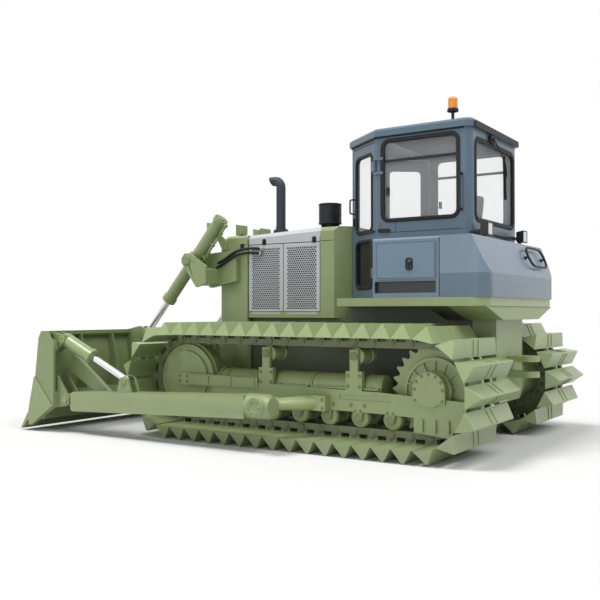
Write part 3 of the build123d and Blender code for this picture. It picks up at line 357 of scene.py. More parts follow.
def rim(bm, origin, right, up, size, radius, section, steps=6):
    """A closed rim round a rounded rectangle; the section is pairs of outward growth and lift."""
    right, up = Vector(right).normalized(), Vector(up).normalized()
    out = right.cross(up)
    loops = []
    for grow, lift in section:
        points = rounded(size[0] + 2 * grow, size[1] + 2 * grow, max(radius + grow, 0.002), steps)
        loops.append([bm.verts.new(Vector(origin) + right * a + up * b + out * lift) for a, b in points])
    for a, b in zip(loops, loops[1:] + loops[:1]):
        for k in range(len(a)):
            j = (k + 1) % len(a)
            bm.faces.new((a[k], a[j], b[j], b[k]))


def bolt(bm, at, axis, radius=0.014, height=0.012):
    """A washer and a hexagon head with a chamfered top."""
    r, h = radius, height
    lathe(bm, at, axis, [(-0.002, 0), (-0.002, 1.55 * r), (0.16 * h, 1.55 * r), (0.22 * h, 1.45 * r),
                         (0.22 * h, 0)], 14)
    lathe(bm, at, axis, [(0.1 * h, 0), (0.1 * h, r), (0.88 * h, r), (h, 0.86 * r), (h, 0)], 6)


def soften(piece, width, turn):
    """Rounds the edges that turn by more than an angle."""
    soft = piece.modifiers.new("bevel", "BEVEL")
    soft.width = width
    soft.segments = 2
    soft.limit_method = "ANGLE"
    soft.angle_limit = math.radians(turn)
    soft.harden_normals = True


def finish(bm, name, body, material, bevel=0.0, smooth=38):
    bmesh.ops.recalc_face_normals(bm, faces=bm.faces)
    mesh = bpy.data.meshes.new(name)
    bm.to_mesh(mesh)
    bm.free()
    mesh.materials.append(M[material])
    mesh.shade_smooth()
    mesh.set_sharp_from_angle(angle=math.radians(smooth))
    piece = bpy.data.objects.new(name, mesh)
    bpy.context.scene.collection.objects.link(piece)
    if bevel:
        soften(piece, bevel, 40)
    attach(piece, body)
    return piece


def pipe(name, points, radius, body, material, closed=False):
    """A smooth round rod along a spline through the given control points."""
    data = bpy.data.curves.new(name, "CURVE")
    data.dimensions = "3D"
    data.bevel_depth = radius
    data.bevel_resolution = 5
    data.resolution_u = 8
    data.use_fill_caps = True
    spline = data.splines.new("NURBS")
    spline.points.add(len(points) - 1)
    for knot, p in zip(spline.points, points):
        knot.co = (*p, 1)
    spline.order_u = 3
    spline.use_endpoint_u = not closed
    spline.use_cyclic_u = closed
    data.materials.append(M[material])
    piece = bpy.data.objects.new(name, data)
    bpy.context.scene.collection.objects.link(piece)
    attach(piece, body)
    return piece


camera()

# Hoses between yoke and hood
HOSE_X, HOSE_Y, HOSE_Z, HOSE_R = GUARD_FRONT - 0.020, 0.535, 1.910, 0.015
HOSE_STEP = (-0.015, 0.052)
HOSE_RUN = [(0, 0, 0), (0, 0, 0.018), (-0.070, 0.020, 0.018), (-0.170, 0.078, 0.018),
            (-0.280, 0.132, 0.018), (-0.380, 0.156, -0.010), (-0.490, 0.165, -0.048),
            (-0.575, 0.152, -0.055), (-0.575, 0.152, -0.085)]
for side, s in SIDES:
    for k in (0, 1):
        x0, z0 = HOSE_X + HOSE_STEP[0] * k, HOSE_Z + HOSE_STEP[1] * k
        path = [(x0 + dx, s * (HOSE_Y + dy), z0 + dz) for dx, dz, dy in HOSE_RUN]
        hose = pipe(f"lift_hose_{side}_{k + 1}", path, HOSE_R, "chassis", "rubber")
        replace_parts(hose, "lift_hoses")
        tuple(path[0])

# Perforated hood panels
PANEL, MESH_RIM = (GRILLE_FRONT - GRILLE_REAR) / 2, 0.048
MESH_W, MESH_LOW = PANEL - 2 * MESH_RIM, GRILLE_LOW + 0.026
HOLE_R, HOLE_PITCH, ROW_PITCH, SHEET = 0.0114, 0.030, 0.025, 0.003


def perforated(bm, x0, z0, y, s, wide, tall):
    """A thin sheet of staggered round holes over a rectangle, its face at y."""
    columns, rows = round(wide / HOLE_PITCH), round(tall / ROW_PITCH)
    cell, row = wide / columns, tall / rows
    for j in range(rows):
        shift = 0.5 if j % 2 else 0.0
        zc = z0 + (j + 0.5) * row
        if shift:
            for xa in (x0, x0 + wide - cell / 2):
                bm.faces.new([bm.verts.new((x, y, z)) for x, z in (
                    (xa, zc - row / 2), (xa + cell / 2, zc - row / 2), (xa + cell / 2, zc + row / 2),
                    (xa, zc + row / 2))])
        for i in range(columns - (1 if shift else 0)):
            xc = x0 + (i + 0.5 + shift) * cell
            turns = [math.radians(22.5 + 45 * k) for k in range(8)]
            eight = [bm.verts.new((xc + HOLE_R * math.cos(t), y, zc + HOLE_R * math.sin(t))) for t in turns]
            back = [bm.verts.new(v.co - Vector((0, s * SHEET, 0))) for v in eight]
            corners = [bm.verts.new((xc + a * cell / 2, y, zc + b * row / 2))
                       for a, b in ((1, 1), (-1, 1), (-1, -1), (1, -1))]
            for k in range(4):
                bm.faces.new((corners[k], eight[2 * k], eight[2 * k + 1]))
                bm.faces.new((corners[k], eight[2 * k + 1], eight[(2 * k + 2) % 8], corners[(k + 1) % 4]))
            for k in range(8):
                bm.faces.new((eight[k], eight[(k + 1) % 8], back[(k + 1) % 8], back[k]))


for side, s in SIDES:
    bm = bmesh.new()
    for k in (0, 1):
        x0 = GRILLE_REAR + PANEL * (k + 0.5) - MESH_W / 2
        low, high, y = HULL_TOP + MESH_RIM, SKIRT - MESH_RIM, s * (HOOD_HALF - 0.0025)
        perforated(bm, x0, MESH_LOW, y, s, MESH_W, high - MESH_LOW)
        bm.faces.new([bm.verts.new((x, y, z)) for x, z in (
            (x0, low), (x0 + MESH_W, low), (x0 + MESH_W, MESH_LOW), (x0, MESH_LOW))])
    finish(bm, f"perforated_sheet_{side}", "chassis", "silver")

# Window seals
SEAL = [(-0.018, -0.021), (-0.018, 0.004), (-0.010, 0.010), (0.020, 0.011), (0.031, 0.006), (0.033, -0.002),
        (0.002, -0.002), (-0.004, -0.021)]
WINDOW_Z, WINDOW_H, SIDE_W, HEADER = 2.755, 0.860, 0.830, 0.042
SIDE_X = (CAB_REAR + CAB_KINK) / 2 + 0.030
for side, s in SIDES:
    bm = bmesh.new()
    rim(bm, (SIDE_X, s * CAB_HALF, WINDOW_Z - HEADER / 2), (-s, 0, 0), (0, 0, 1),
        (SIDE_W, WINDOW_H - HEADER), 0.070, [(g * 0.85, t) for g, t in SEAL])
    finish(bm, f"side_window_seal_{side}", "chassis", "rubber")
    bm = bmesh.new()
    top = WINDOW_Z + WINDOW_H / 2
    prism(bm, [(SIDE_X + a, s * (CAB_HALF - 0.040), b) for a, b in
               ((-SIDE_W / 2 - 0.004, top + 0.004), (SIDE_W / 2 + 0.004, top + 0.004),
                (SIDE_W / 2 + 0.004, top - HEADER - 0.060), (SIDE_W / 2 - 0.018, top - HEADER - 0.012),
                (SIDE_W / 2 - 0.070, top - HEADER + 0.008), (-SIDE_W / 2 + 0.070, top - HEADER + 0.008),
                (-SIDE_W / 2 + 0.018, top - HEADER - 0.012), (-SIDE_W / 2 - 0.004, top - HEADER - 0.060))],
          (0, s * 0.0405, 0))
    finish(bm, f"window_header_{side}", "chassis", "roof")
bm = bmesh.new()
rim(bm, (CAB_REAR, 0, WINDOW_Z - 0.060), (0, -1, 0), (0, 0, 1), (1.120, 0.800), 0.080, SEAL)
finish(bm, "rear_window_seal", "chassis", "rubber")
bm = bmesh.new()
rim(bm, (CAB_FRONT, 0, WINDOW_Z - 0.060), (0, 1, 0), (0, 0, 1), (0.524, 0.980), 0.060,
    [(g * 0.7, min(t, 0.007)) for g, t in SEAL])
finish(bm, "front_window_seal", "chassis", "rubber")

PANES = ((2.64045, 0.80910), (1.87795, 0.49590))
for side, s in SIDES:
    along = Vector((FACET.x, s * FACET.y, 0))
    mid = (KINK + NOSE) / 2
    mid = Vector((mid.x, s * mid.y, 0))
    bm = bmesh.new()
    for z, tall in PANES:
        rim(bm, mid + Vector((0, 0, z)), -along * s, (0, 0, 1), (0.3972, tall), 0.060,
            [(g * 0.72, t if t > -0.01 else -0.017) for g, t in SEAL])
    finish(bm, f"door_seal_{side}", f"door_{side}", "rubber")

# Rollers
ROLLER_LONG = 0.310
ROLLER_END = [(0, 0), (0, 0.050), (0.004, 0.086), (0.010, 0.094), (0.024, 0.094), (0.030, 0.0995),
              (0.075, 0.0995), (0.081, 0.094), (0.089, 0.086), (0.091, 0.030)]
ROLLER_FORM = ROLLER_END + [(ROLLER_LONG - d, r) for d, r in reversed(ROLLER_END)]
CARRIER_FORM = [(0, 0), (0, 0.070), (0.008, 0.0835), (0.080, 0.0835), (0.086, 0.074), (0.210, 0.074),
                (0.216, 0.0835), (0.286, 0.0835), (0.295, 0.070), (0.295, 0)]
for side, s in SIDES:
    bm = bmesh.new()
    inner = s * (TRACK_Y - ROLLER_LONG / 2)
    for x in ROLLERS:
        lathe(bm, (x, inner, ROLLER_Z), (0, s, 0), ROLLER_FORM, 40)
    for x in CARRIERS:
        lathe(bm, (x, inner, CARRIER_Z), (0, s, 0), CARRIER_FORM, 40)
    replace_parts(finish(bm, f"turned_rollers_{side}", "chassis", "frame"), f"rollers_{side}")

# Track chain and shoes
LINKS, RAIL_OUT, FOOT = 43, 0.125, 0.056
WHEELBASE, QUARTER = IX - SX, PIN_R * math.pi / 2
BOSS = [(-0.002, 0), (-0.002, 0.041), (0.009, 0.041), (0.013, 0.036), (0.013, 0.023), (0.019, 0.021),
        (0.019, 0)]
RIB = [(-0.0950, 0.018), (0.0950, 0.018), (0.0170, 0.133), (-0.0170, 0.133)]


def loop_point(s):
    """A pin's place at the distance s along the pin line, counted from the rear."""
    s %= 2 * WHEELBASE + 4 * QUARTER
    cx, angle = SX, math.pi + s / PIN_R
    if QUARTER < s < QUARTER + WHEELBASE:
        return SX + s - QUARTER, AXLE - PIN_R
    if QUARTER + WHEELBASE <= s <= 3 * QUARTER + WHEELBASE:
        cx, angle = IX, angle - WHEELBASE / PIN_R
    elif 3 * QUARTER + WHEELBASE < s < 3 * QUARTER + 2 * WHEELBASE:
        return IX - (s - 3 * QUARTER - WHEELBASE), AXLE + PIN_R
    elif s >= 3 * QUARTER + 2 * WHEELBASE:
        angle -= 2 * WHEELBASE / PIN_R
    return cx + PIN_R * math.cos(angle), AXLE + PIN_R * math.sin(angle)


PINS = [loop_point((i - 0.5) * LINK) for i in range(LINKS)]
for side, s in SIDES:
    bm = bmesh.new()
    for i, (x, z) in enumerate(PINS):
        for t in (-1, 1):
            lathe(bm, (x, s * TRACK_Y + t * RAIL_OUT, z), (0, t, 0), BOSS, 14)
        px, pz = PINS[i - 1]
        run = Vector((px - x, 0, pz - z)).normalized()
        out = Vector((-run.z, 0, run.x))
        foot = Vector(((x + px) / 2, s * TRACK_Y, (z + pz) / 2)) + out * FOOT
        for t in (-0.060, 0.060):
            prism(bm, [foot + run * a + out * h + Vector((0, t - 0.008, 0)) for a, h in RIB], (0, 0.016, 0))
    finish(bm, f"chain_pins_{side}", "chassis", "track")

# Bolts and caps of the undercarriage
CAP = [(-0.002, 0), (-0.002, 0.046), (0.006, 0.046), (0.009, 0.042), (0.009, 0.028), (0.005, 0.025),
       (0.005, 0)]
STRUT_X, STRUT_FACE, COVER_R = PIVOT.x - 0.318, FRAME_OUT + 0.095, 0.140
PIN_FACE = ARM_OUT + 0.040
RECOIL_Z, RECOIL_REAR, RECOIL_FRONT = 0.6176, SX + 0.530, 0.447
CARRIER_MID = (CARRIERS[0] + CARRIERS[1]) / 2
COVERS = [(RECOIL_REAR + 0.015, CARRIERS[0] - 0.095), (CARRIERS[0] + 0.095, CARRIER_MID - 0.020),
          (CARRIER_MID + 0.020, CARRIERS[1] - 0.095), (CARRIERS[1] + 0.095, RECOIL_FRONT - 0.160)]
BANDS = [CARRIER_MID, RECOIL_FRONT - 0.135, RECOIL_FRONT - 0.020]
BAND_FORM = [(-0.012, 0.128), (-0.012, 0.141), (-0.009, 0.144), (0.009, 0.144), (0.012, 0.141),
             (0.012, 0.128)]
YOKE_PANELS = [(IX - 1.000, IX - 0.710), (IX - 0.690, IX - 0.400), (IX - 0.380, IX - 0.100)]


def ring_of_bolts(bm, middle, axis, radius, count, size):
    axis = Vector(axis).normalized()
    u = axis.orthogonal().normalized()
    v = axis.cross(u)
    for k in range(count):
        t = 2 * math.pi * (k + 0.5) / count
        bolt(bm, Vector(middle) + (u * math.cos(t) + v * math.sin(t)) * radius, axis, size, size * 0.9)


for side, s in SIDES:
    bm = bmesh.new()
    out, face = (0, s, 0), s * FRAME_OUT
    for x in ROLLERS:
        lathe(bm, (x, face, ROLLER_Z), out, CAP, 20)
        for dx in (-0.030, 0.030):
            bolt(bm, (x + dx, face, 0.405), out, 0.011, 0.010)
        if x > ROLLERS[0]:
            for dx in (-0.075, 0.075):
                bolt(bm, (x + dx, face, 0.462), out, 0.013, 0.011)
    for x in CARRIERS:
        lathe(bm, (x, s * (FRAME_OUT + 0.012), CARRIER_Z), out, [(d, 0.86 * r) for d, r in CAP], 20)
        for dx, z in ((-0.065, 0.640), (0.065, 0.640), (-0.065, 0.745), (0.065, 0.745)):
            bolt(bm, (x + dx, face, z), out, 0.013, 0.011)
    for turn in range(0, 181, 30):
        t = math.radians(turn)
        at = (SX + COVER_R * math.cos(t), s * (FRAME_OUT + 0.030), AXLE + 0.023 + COVER_R * math.sin(t))
        bolt(bm, at, out, 0.011, 0.010)
    for dx in (-0.135, 0.135):
        bolt(bm, (SX + dx, s * (FRAME_OUT + 0.030), AXLE - 0.080), out, 0.011, 0.010)
        for dz in (-0.042, 0.042):
            bolt(bm, (STRUT_X + dx * 0.45, s * STRUT_FACE, PIVOT.z + dz), out, 0.014, 0.012)
            bolt(bm, (IX - 0.020 + dx * 0.4, s * (FRAME_OUT + 0.014), AXLE + dz * 0.65), out, 0.012, 0.010)
    lathe(bm, (PIVOT.x, s * PIN_FACE, PIVOT.z), out,
          [(-0.002, 0), (-0.002, 0.092), (0.006, 0.088), (0.006, 0.046), (0.002, 0.042), (0.002, 0)], 36)
    for turn in range(0, 360, 60):
        t = math.radians(turn)
        bolt(bm, (PIVOT.x + 0.066 * math.cos(t), s * (PIN_FACE + 0.005), PIVOT.z + 0.066 * math.sin(t)), out,
             0.010, 0.009)
    lathe(bm, (YOKE.x, s * 0.800, YOKE.z), out,
          [(-0.003, 0), (-0.003, 0.060), (0.010, 0.060), (0.014, 0.056), (0.014, 0)], 28)
    for turn in (30, 150, 270):
        t = math.radians(turn)
        bolt(bm, (YOKE.x + 0.038 * math.cos(t), s * 0.813, YOKE.z + 0.038 * math.sin(t)), out, 0.009, 0.008)
    ring_of_bolts(bm, (SX, s * (TRACK_Y - 0.032), AXLE), (0, -s, 0), 0.305, 18, 0.015)
    finish(bm, f"frame_bolts_{side}", "chassis", "bolt")
    bm = bmesh.new()
    for x0, x1 in COVERS:
        arc = [(r, math.radians(t)) for r, turns in ((0.137, range(4, 140, 9)), (0.1295, range(130, -5, -9)))
               for t in turns]
        shell = [(x0, s * (TRACK_Y + r * math.cos(t)), RECOIL_Z + r * math.sin(t)) for r, t in arc]
        prism(bm, shell, (x1 - x0, 0, 0))
        box(bm, (x0, s * (TRACK_Y + 0.118), RECOIL_Z - 0.006), (x1, s * (TRACK_Y + 0.172), RECOIL_Z + 0.010))
        count = round((x1 - x0) / 0.16)
        for k in range(count):
            x = x0 + (x1 - x0) * (k + 0.5) / count
            bolt(bm, (x, s * (TRACK_Y + 0.155), RECOIL_Z + 0.010), (0, 0, 1), 0.009, 0.009)
    for x in BANDS:
        lathe(bm, (x, s * TRACK_Y, RECOIL_Z), (1, 0, 0), BAND_FORM, 48)
    for x0, x1 in YOKE_PANELS:
        box(bm, (x0, s * (FRAME_OUT + 0.008), AXLE - 0.058), (x1, s * (FRAME_OUT + 0.024), AXLE + 0.046))
    finish(bm, f"recoil_covers_{side}", "chassis", "frame", bevel=0.003)

# Cylinder heads and blade bolts
LIFT_DIR, LIFT_HALF = (EYE - YOKE).normalized(), 0.640
LIFT_BACK = Vector((LIFT_DIR.z, 0, -LIFT_DIR.x))
for side, s in SIDES:
    bm = bmesh.new()
    top = Vector((YOKE.x, s * YOKE.y, YOKE.z))
    for d, way in ((-LIFT_HALF, -1), (LIFT_HALF, 1)):
        ring_of_bolts(bm, top + LIFT_DIR * d, LIFT_DIR * way, 0.066, 8, 0.009)
    lathe(bm, top - LIFT_DIR * LIFT_HALF, -LIFT_DIR,
          [(-0.002, 0), (-0.002, 0.050), (0.012, 0.044), (0.012, 0)], 28)
    lathe(bm, top + LIFT_DIR * LIFT_HALF, LIFT_DIR,
          [(-0.002, 0.0395), (-0.002, 0.054), (0.014, 0.050), (0.014, 0.0395), (-0.002, 0.0395)], 28)
    for d in (-LIFT_HALF + 0.120, -LIFT_HALF / 2 + 0.090, -0.165):
        lathe(bm, top + LIFT_DIR * d + LIFT_BACK * 0.109, LIFT_DIR,
              [(0, 0.0135), (0, 0.022), (0.004, 0.024), (0.026, 0.024), (0.030, 0.022), (0.030, 0.0135)], 6)
    finish(bm, f"lift_head_{side}", f"lift_barrel_{side}", "bolt")

HIGH_PIN = Vector((BLADE_BACK - 0.046, ARM_MID, 0.913 * BLADE_TALL))
LOW_PIN = Vector((BLADE_BACK - 1.013, ARM_MID, PIVOT.z + 0.157))
TILT_DIR = (HIGH_PIN - LOW_PIN).normalized()
TILT_MID = LOW_PIN + (HIGH_PIN - LOW_PIN) * 0.55
EDGE_OUT = Vector((0.127 * BLADE_TALL, 0, 0.223 * BLADE_DEEP)).normalized()
PIN_REACH = 0.069
PIN_CAP = [(-0.002, 0), (-0.002, 0.048), (0.010, 0.048), (0.014, 0.043), (0.014, 0)]
bm = bmesh.new()
ring_of_bolts(bm, TILT_MID, -TILT_DIR, 0.068, 8, 0.009)
lathe(bm, TILT_MID, -TILT_DIR, [(-0.002, 0.0395), (-0.002, 0.054), (0.014, 0.050), (0.014, 0.0395)], 28)
for k in range(27):
    for share in ((0.62,) if 2 < k < 24 else (0.45, 0.80)):
        at = (TIP - 0.223 * share * BLADE_DEEP, 0.150 * (k - 13), (0.019 + 0.127 * share) * BLADE_TALL)
        lathe(bm, at, EDGE_OUT,
              [(-0.002, 0), (-0.002, 0.020), (0.003, 0.019), (0.006, 0.011), (0.006, 0)], 14)
for s in (-1, 1):
    face = s * (ARM_MID + PIN_REACH)
    for pin in (HIGH_PIN, LOW_PIN):
        lathe(bm, (pin.x, face, pin.z), (0, s, 0), PIN_CAP, 24)
        for dz in (-0.020, 0.020):
            bolt(bm, (pin.x, face + s * 0.013, pin.z + dz), (0, s, 0), 0.009, 0.008)
finish(bm, "blade_bolts", "blade", "bolt")

# Hood seams, latches and fittings


def strip(bm, a, b, normal, width=0.005, lift=0.0014):
    """A thin flat strip on a surface between two points."""
    a, b, normal = Vector(a), Vector(b), Vector(normal).normalized()
    half = normal.cross(b - a).normalized() * (width / 2)
    prism(bm, [a - half, b - half, b + half, a + half], normal * lift)


MESH_GAP = (GRILLE_REAR + GRILLE_FRONT) / 2
HOOD_NUT = [(-0.004, 0), (-0.004, 0.030), (0.006, 0.030), (0.006, 0.025), (0.024, 0.025), (0.028, 0.020),
            (0.028, 0)]
YOKE_NUT = [(-0.004, 0), (-0.004, 0.026), (0.008, 0.026), (0.010, 0.020), (0.010, 0)]
for side, s in SIDES:
    y, out = s * HOOD_HALF, (0, s, 0)
    bm = bmesh.new()
    strip(bm, (GRILLE_REAR + 0.006, y, SKIRT + 0.002), (GRILLE_FRONT - 0.006, y, SKIRT + 0.002), out, 0.007)
    strip(bm, (MESH_GAP, y, GRILLE_LOW), (MESH_GAP, y, SKIRT), out, 0.007)
    for x in (GRILLE_REAR + 0.004, GRILLE_FRONT - 0.004):
        strip(bm, (x, y, GRILLE_LOW), (x, y, HOOD_FRONT_Z - 0.060), out, 0.006)
    strip(bm, (GRILLE_REAR + 0.006, y, GRILLE_LOW), (GRILLE_FRONT - 0.006, y, GRILLE_LOW), out, 0.006)
    strip(bm, (COWL_REAR + 0.155, y, SKIRT + 0.007), (GRILLE_REAR - 0.006, y, SKIRT + 0.007), out, 0.006)
    strip(bm, (GRILLE_FRONT + 0.010, s * GUARD_HALF, SKIRT + 0.010),
          (GUARD_FRONT - 0.300, s * GUARD_HALF, SKIRT + 0.010), out, 0.006)
    finish(bm, f"hood_seams_{side}", "chassis", "rubber")
    bm = bmesh.new()
    for x, z, face in ((0.407, 2.193, HOOD_HALF), (-0.289, 2.190, HOOD_HALF), (0.714, 2.150, GUARD_HALF)):
        at = Vector((x, s * face, z))
        rim(bm, at, (-s, 0, 0), (0, 0, 1), (0.030, 0.052), 0.012,
            [(0, -0.002), (0, 0.006), (0.006, 0.009), (0.012, 0.006), (0.012, -0.002)])
        prism(bm, [at + Vector((a, 0, b)) for a, b in rounded(0.018, 0.070, 0.008, 3)], (0, s * 0.012, 0))
    finish(bm, f"hood_latches_{side}", "chassis", "black")
    bm = bmesh.new()
    for k in (0, 1):
        x, z = HOSE_X + HOSE_STEP[0] * k, HOSE_Z + HOSE_STEP[1] * k
        lathe(bm, (x + HOSE_RUN[-1][0], y, z + HOSE_RUN[-1][1]), out, HOOD_NUT, 6)
        lathe(bm, (x, s * HOSE_Y, z), out, YOKE_NUT, 6)
    finish(bm, f"hose_fittings_{side}", "chassis", "steel")

# Intake and beacon, turned
PAD_Z, CLEAN_X = HOOD_REAR_Z + 0.006, GRILLE_REAR + 0.140
bm = bmesh.new()
lathe(bm, (CLEAN_X, 0, PAD_Z), (0, 0, 1),
      [(0, 0), (0, 0.090), (0.062, 0.090), (0.070, 0.100), (0.070, 0.134), (0.074, 0.138), (0.081, 0.138),
       (0.084, 0.133), (0.180, 0.133), (0.183, 0.136), (0.190, 0.136), (0.193, 0.133), (0.294, 0.133),
       (0.297, 0.138), (0.305, 0.138), (0.310, 0.132), (0.310, 0.090), (0.302, 0.084), (0.302, 0)], 56)
for k in range(20):
    t = 2 * math.pi * k / 20
    u, v = Vector((math.cos(t), math.sin(t), 0)), Vector((-math.sin(t), math.cos(t), 0))
    foot = Vector((CLEAN_X, 0, PAD_Z + 0.020)) + u * 0.088
    deep, half = u * 0.020, v * 0.003
    prism(bm, [foot - half, foot + deep - half, foot + deep + half, foot + half], (0, 0, 0.051))
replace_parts(finish(bm, "turned_precleaner", "chassis", "black"), "precleaner")

BEACON = Vector((CAB_REAR + 0.285, CAB_HALF - 0.240, CAB_TOP + ROOF))
bm = bmesh.new()
lathe(bm, BEACON, (0, 0, 1),
      [(0, 0), (0, 0.034), (0.006, 0.034), (0.010, 0.016), (0.122, 0.016), (0.130, 0.040), (0.134, 0.057),
       (0.140, 0.058), (0.158, 0.058), (0.165, 0.054), (0.168, 0.048), (0.168, 0)], 36)
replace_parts(finish(bm, "beacon_base", "chassis", "black"), "beacon")
bm = bmesh.new()
lathe(bm, BEACON, (0, 0, 1),
      [(0.166, 0), (0.166, 0.0495)] + [(d, 0.0495 - 0.001 * (k % 2)) for k, d in
                                       enumerate(0.172 + 0.008 * j for j in range(11))] +
      [(0.262, 0.0490), (0.272, 0.0450), (0.282, 0.0360), (0.288, 0.022), (0.290, 0)], 36)
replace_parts(finish(bm, "beacon_dome", "chassis", "amber"), "beacon")

# Lamp lenses
LAMPS = [(CAB_REAR - 0.145, 0.535, BOX_TOP + 0.0895, -1),
         (GUARD_FRONT - 0.128, 0.250, HOOD_FRONT_Z + 0.0895, 1),
         (GUARD_FRONT + 0.145, 0.475, HOOD_FRONT_Z + 0.110, 1)]


def loft(bm, loops):
    """A closed skin through loops of equally many points."""
    rings = [[bm.verts.new(Vector(p)) for p in loop] for loop in loops]
    for a, b in zip(rings, rings[1:]):
        for k in range(len(a)):
            j = (k + 1) % len(a)
            bm.faces.new((a[k], a[j], b[j], b[k]))
    bm.faces.new(rings[0])
    bm.faces.new(rings[-1])


glasses, mirrors = bmesh.new(), bmesh.new()
for x, y, z, way in LAMPS:
    for s in (-1, 1):
        at = Vector((x - way * 0.010, s * y, z))
        loft(mirrors, [[at + Vector((way * d, a * g, b * g)) for a, b in rounded(0.112, 0.107, 0.012, 3)]
                       for d, g in ((-0.0005, 1.0), (0.003, 1.0), (0.0005, 0.60), (0.0040, 0.2))])
        loft(glasses, [[at + Vector((way * d, a * g, b * g)) for a, b in rounded(0.114, 0.109, 0.012, 3)]
                       for d, g in ((0.0042, 1.0), (0.0070, 1.0), (0.0085, 0.92), (0.0095, 0.5))])
finish(mirrors, "lamp_mirrors", "chassis", "mirror")
finish(glasses, "lamp_lenses", "chassis", "lens")

# Cab trim
ROOF_REAR = CAB_REAR - 0.028
GUTTER, GUTTER_TALL = 3.184, 0.015


def on_door(a, out, z, s):
    """A place on a door's face: along it from the hinge side, outward, and height."""
    p = KINK + FACET * a + FACET_OUT * out
    return Vector((p.x, s * p.y, z))


bm = bmesh.new()
prism(bm, [(ROOF_REAR + 0.008, a, 3.229 + b) for a, b in rounded(1.300, 0.064, 0.014, 3)], (-0.018, 0, 0))
for s in (-1, 1):
    box(bm, (CAB_REAR + 0.070, s * (CAB_HALF - 0.004), GUTTER),
        (CAB_KINK, s * (CAB_HALF + 0.014), GUTTER + GUTTER_TALL))
    prism(bm, [on_door(a, o, GUTTER, s) for a, o in
               ((0.0, -0.004), (0.623, -0.004), (0.623, 0.014), (0.0, 0.014))], (0, 0, GUTTER_TALL))
    box(bm, (SIDE_X - SIDE_W / 2 + 0.004, s * 0.654, 2.927), (SIDE_X + SIDE_W / 2 - 0.004, s * 0.680, 2.953))
    box(bm, (-1.352, s * 0.656, 2.585), (-1.326, s * 0.690, 2.665))
    prism(bm, [(x, s * (CAB_HALF - 0.004), z) for x, z in
               ((-1.372, 2.200), (-1.232, 2.200), (-1.232, 2.234), (-1.352, 2.234), (-1.372, 2.222))],
          (0, s * 0.022, 0))
    for x in (-1.345, -1.262):
        bolt(bm, (x, s * (CAB_HALF + 0.018), 2.217), (0, s, 0), 0.007, 0.006)
box(bm, (CAB_FRONT - 0.004, -NOSE_HALF, GUTTER), (CAB_FRONT + 0.014, NOSE_HALF, GUTTER + GUTTER_TALL))
box(bm, (CAB_REAR - 0.030, 0.085, 3.112), (CAB_REAR + 0.004, 0.200, 3.186))
finish(bm, "cab_trim", "chassis", "black", bevel=0.003)

bm = bmesh.new()
for s in (-1, 1):
    y, out = s * CAB_HALF, (0, s, 0)
    strip(bm, (-2.170, y, 2.194), (-1.260, y, 2.194), out)
    for x in (-1.435, -1.257):
        strip(bm, (x, y, 2.200), (x, y, 2.296), out)
    mid_x = (LOCKER_REAR + LOCKER_FRONT) / 2
    rim(bm, (mid_x, s * DECK_HALF, 1.874), (-s, 0, 0), (0, 0, 1), (0.640, 0.370), 0.024,
        [(-0.012, -0.001), (-0.012, 0.0010), (-0.009, 0.0010), (-0.009, -0.001)])
    edge = s * (DECK_HALF - 0.010)
    strip(bm, (LOCKER_REAR, edge, DECK_TOP + 0.006), (LOCKER_REAR, edge, 2.078), out, 0.006, 0.011)
finish(bm, "cab_seams", "chassis", "rubber")

LATCH_X, LATCH_Z = -1.7665, 1.836
for side, s in SIDES:
    bm = bmesh.new()
    rim(bm, (LATCH_X, s * DECK_HALF, LATCH_Z), (-s, 0, 0), (0, 0, 1), (0.042, 0.090), 0.010,
        [(0, -0.002), (0, 0.010), (0.005, 0.013), (0.012, 0.013), (0.016, 0.009), (0.016, -0.002)])
    for up, size, proud in ((0.006, (0.046, 0.030), 0.014), (-0.024, (0.016, 0.046), 0.011)):
        prism(bm, [(LATCH_X + a, s * DECK_HALF, LATCH_Z + up + b) for a, b in rounded(*size, 0.006, 3)],
              (0, s * proud, 0))
    finish(bm, f"locker_latch_{side}", "chassis", "black")
    bm = bmesh.new()
    prism(bm, [on_door(a, o, 2.203, s) for a, o in
               ((0.052, -0.003), (0.440, -0.003), (0.440, 0.014), (0.052, 0.014))], (0, 0, 0.028))
    for a in (0.090, 0.400):
        bolt(bm, on_door(a, 0.012, 2.217, s), (FACET_OUT.x, s * FACET_OUT.y, 0), 0.007, 0.006)
    prism(bm, [on_door(0.562 + a, -0.003, 2.360 + b, s) for a, b in rounded(0.038, 0.090, 0.010, 3)],
          Vector((FACET_OUT.x, s * FACET_OUT.y, 0)) * 0.018)
    finish(bm, f"door_lock_{side}", f"door_{side}", "black", bevel=0.002)
    grip = [on_door(0.560, o, z, s) for o, z in
            ((-0.004, 2.455), (0.050, 2.455), (0.058, 2.475), (0.058, 2.535), (0.058, 2.595), (0.050, 2.615),
             (-0.004, 2.615))]
    pipe(f"door_handle_{side}", grip, 0.009, f"door_{side}", "black")

# Rear wiper
bm = bmesh.new()
lathe(bm, (CAB_REAR - 0.028, 0.142, 3.150), (-1, 0, 0),
      [(0, 0), (0, 0.020), (0.016, 0.018), (0.020, 0.012), (0.020, 0)], 20)
high, low = Vector((CAB_REAR + 0.018, -0.278, 3.049)), Vector((CAB_REAR + 0.018, -0.322, 2.583))
wide = Vector((0, 0.004, 0))
prism(bm, [high - wide, high + wide, low + wide, low - wide], (-0.030, 0, 0))
finish(bm, "wiper_blade", "chassis", "rubber")
wiper = [(-0.040, 0.142, 3.150), (-0.044, 0.090, 3.123), (-0.044, -0.157, 2.990), (-0.036, -0.270, 2.860),
         (-0.014, -0.300, 2.816)]
pipe("wiper_arm", [(CAB_REAR + x, y, z) for x, y, z in wiper], 0.007, "chassis", "black")

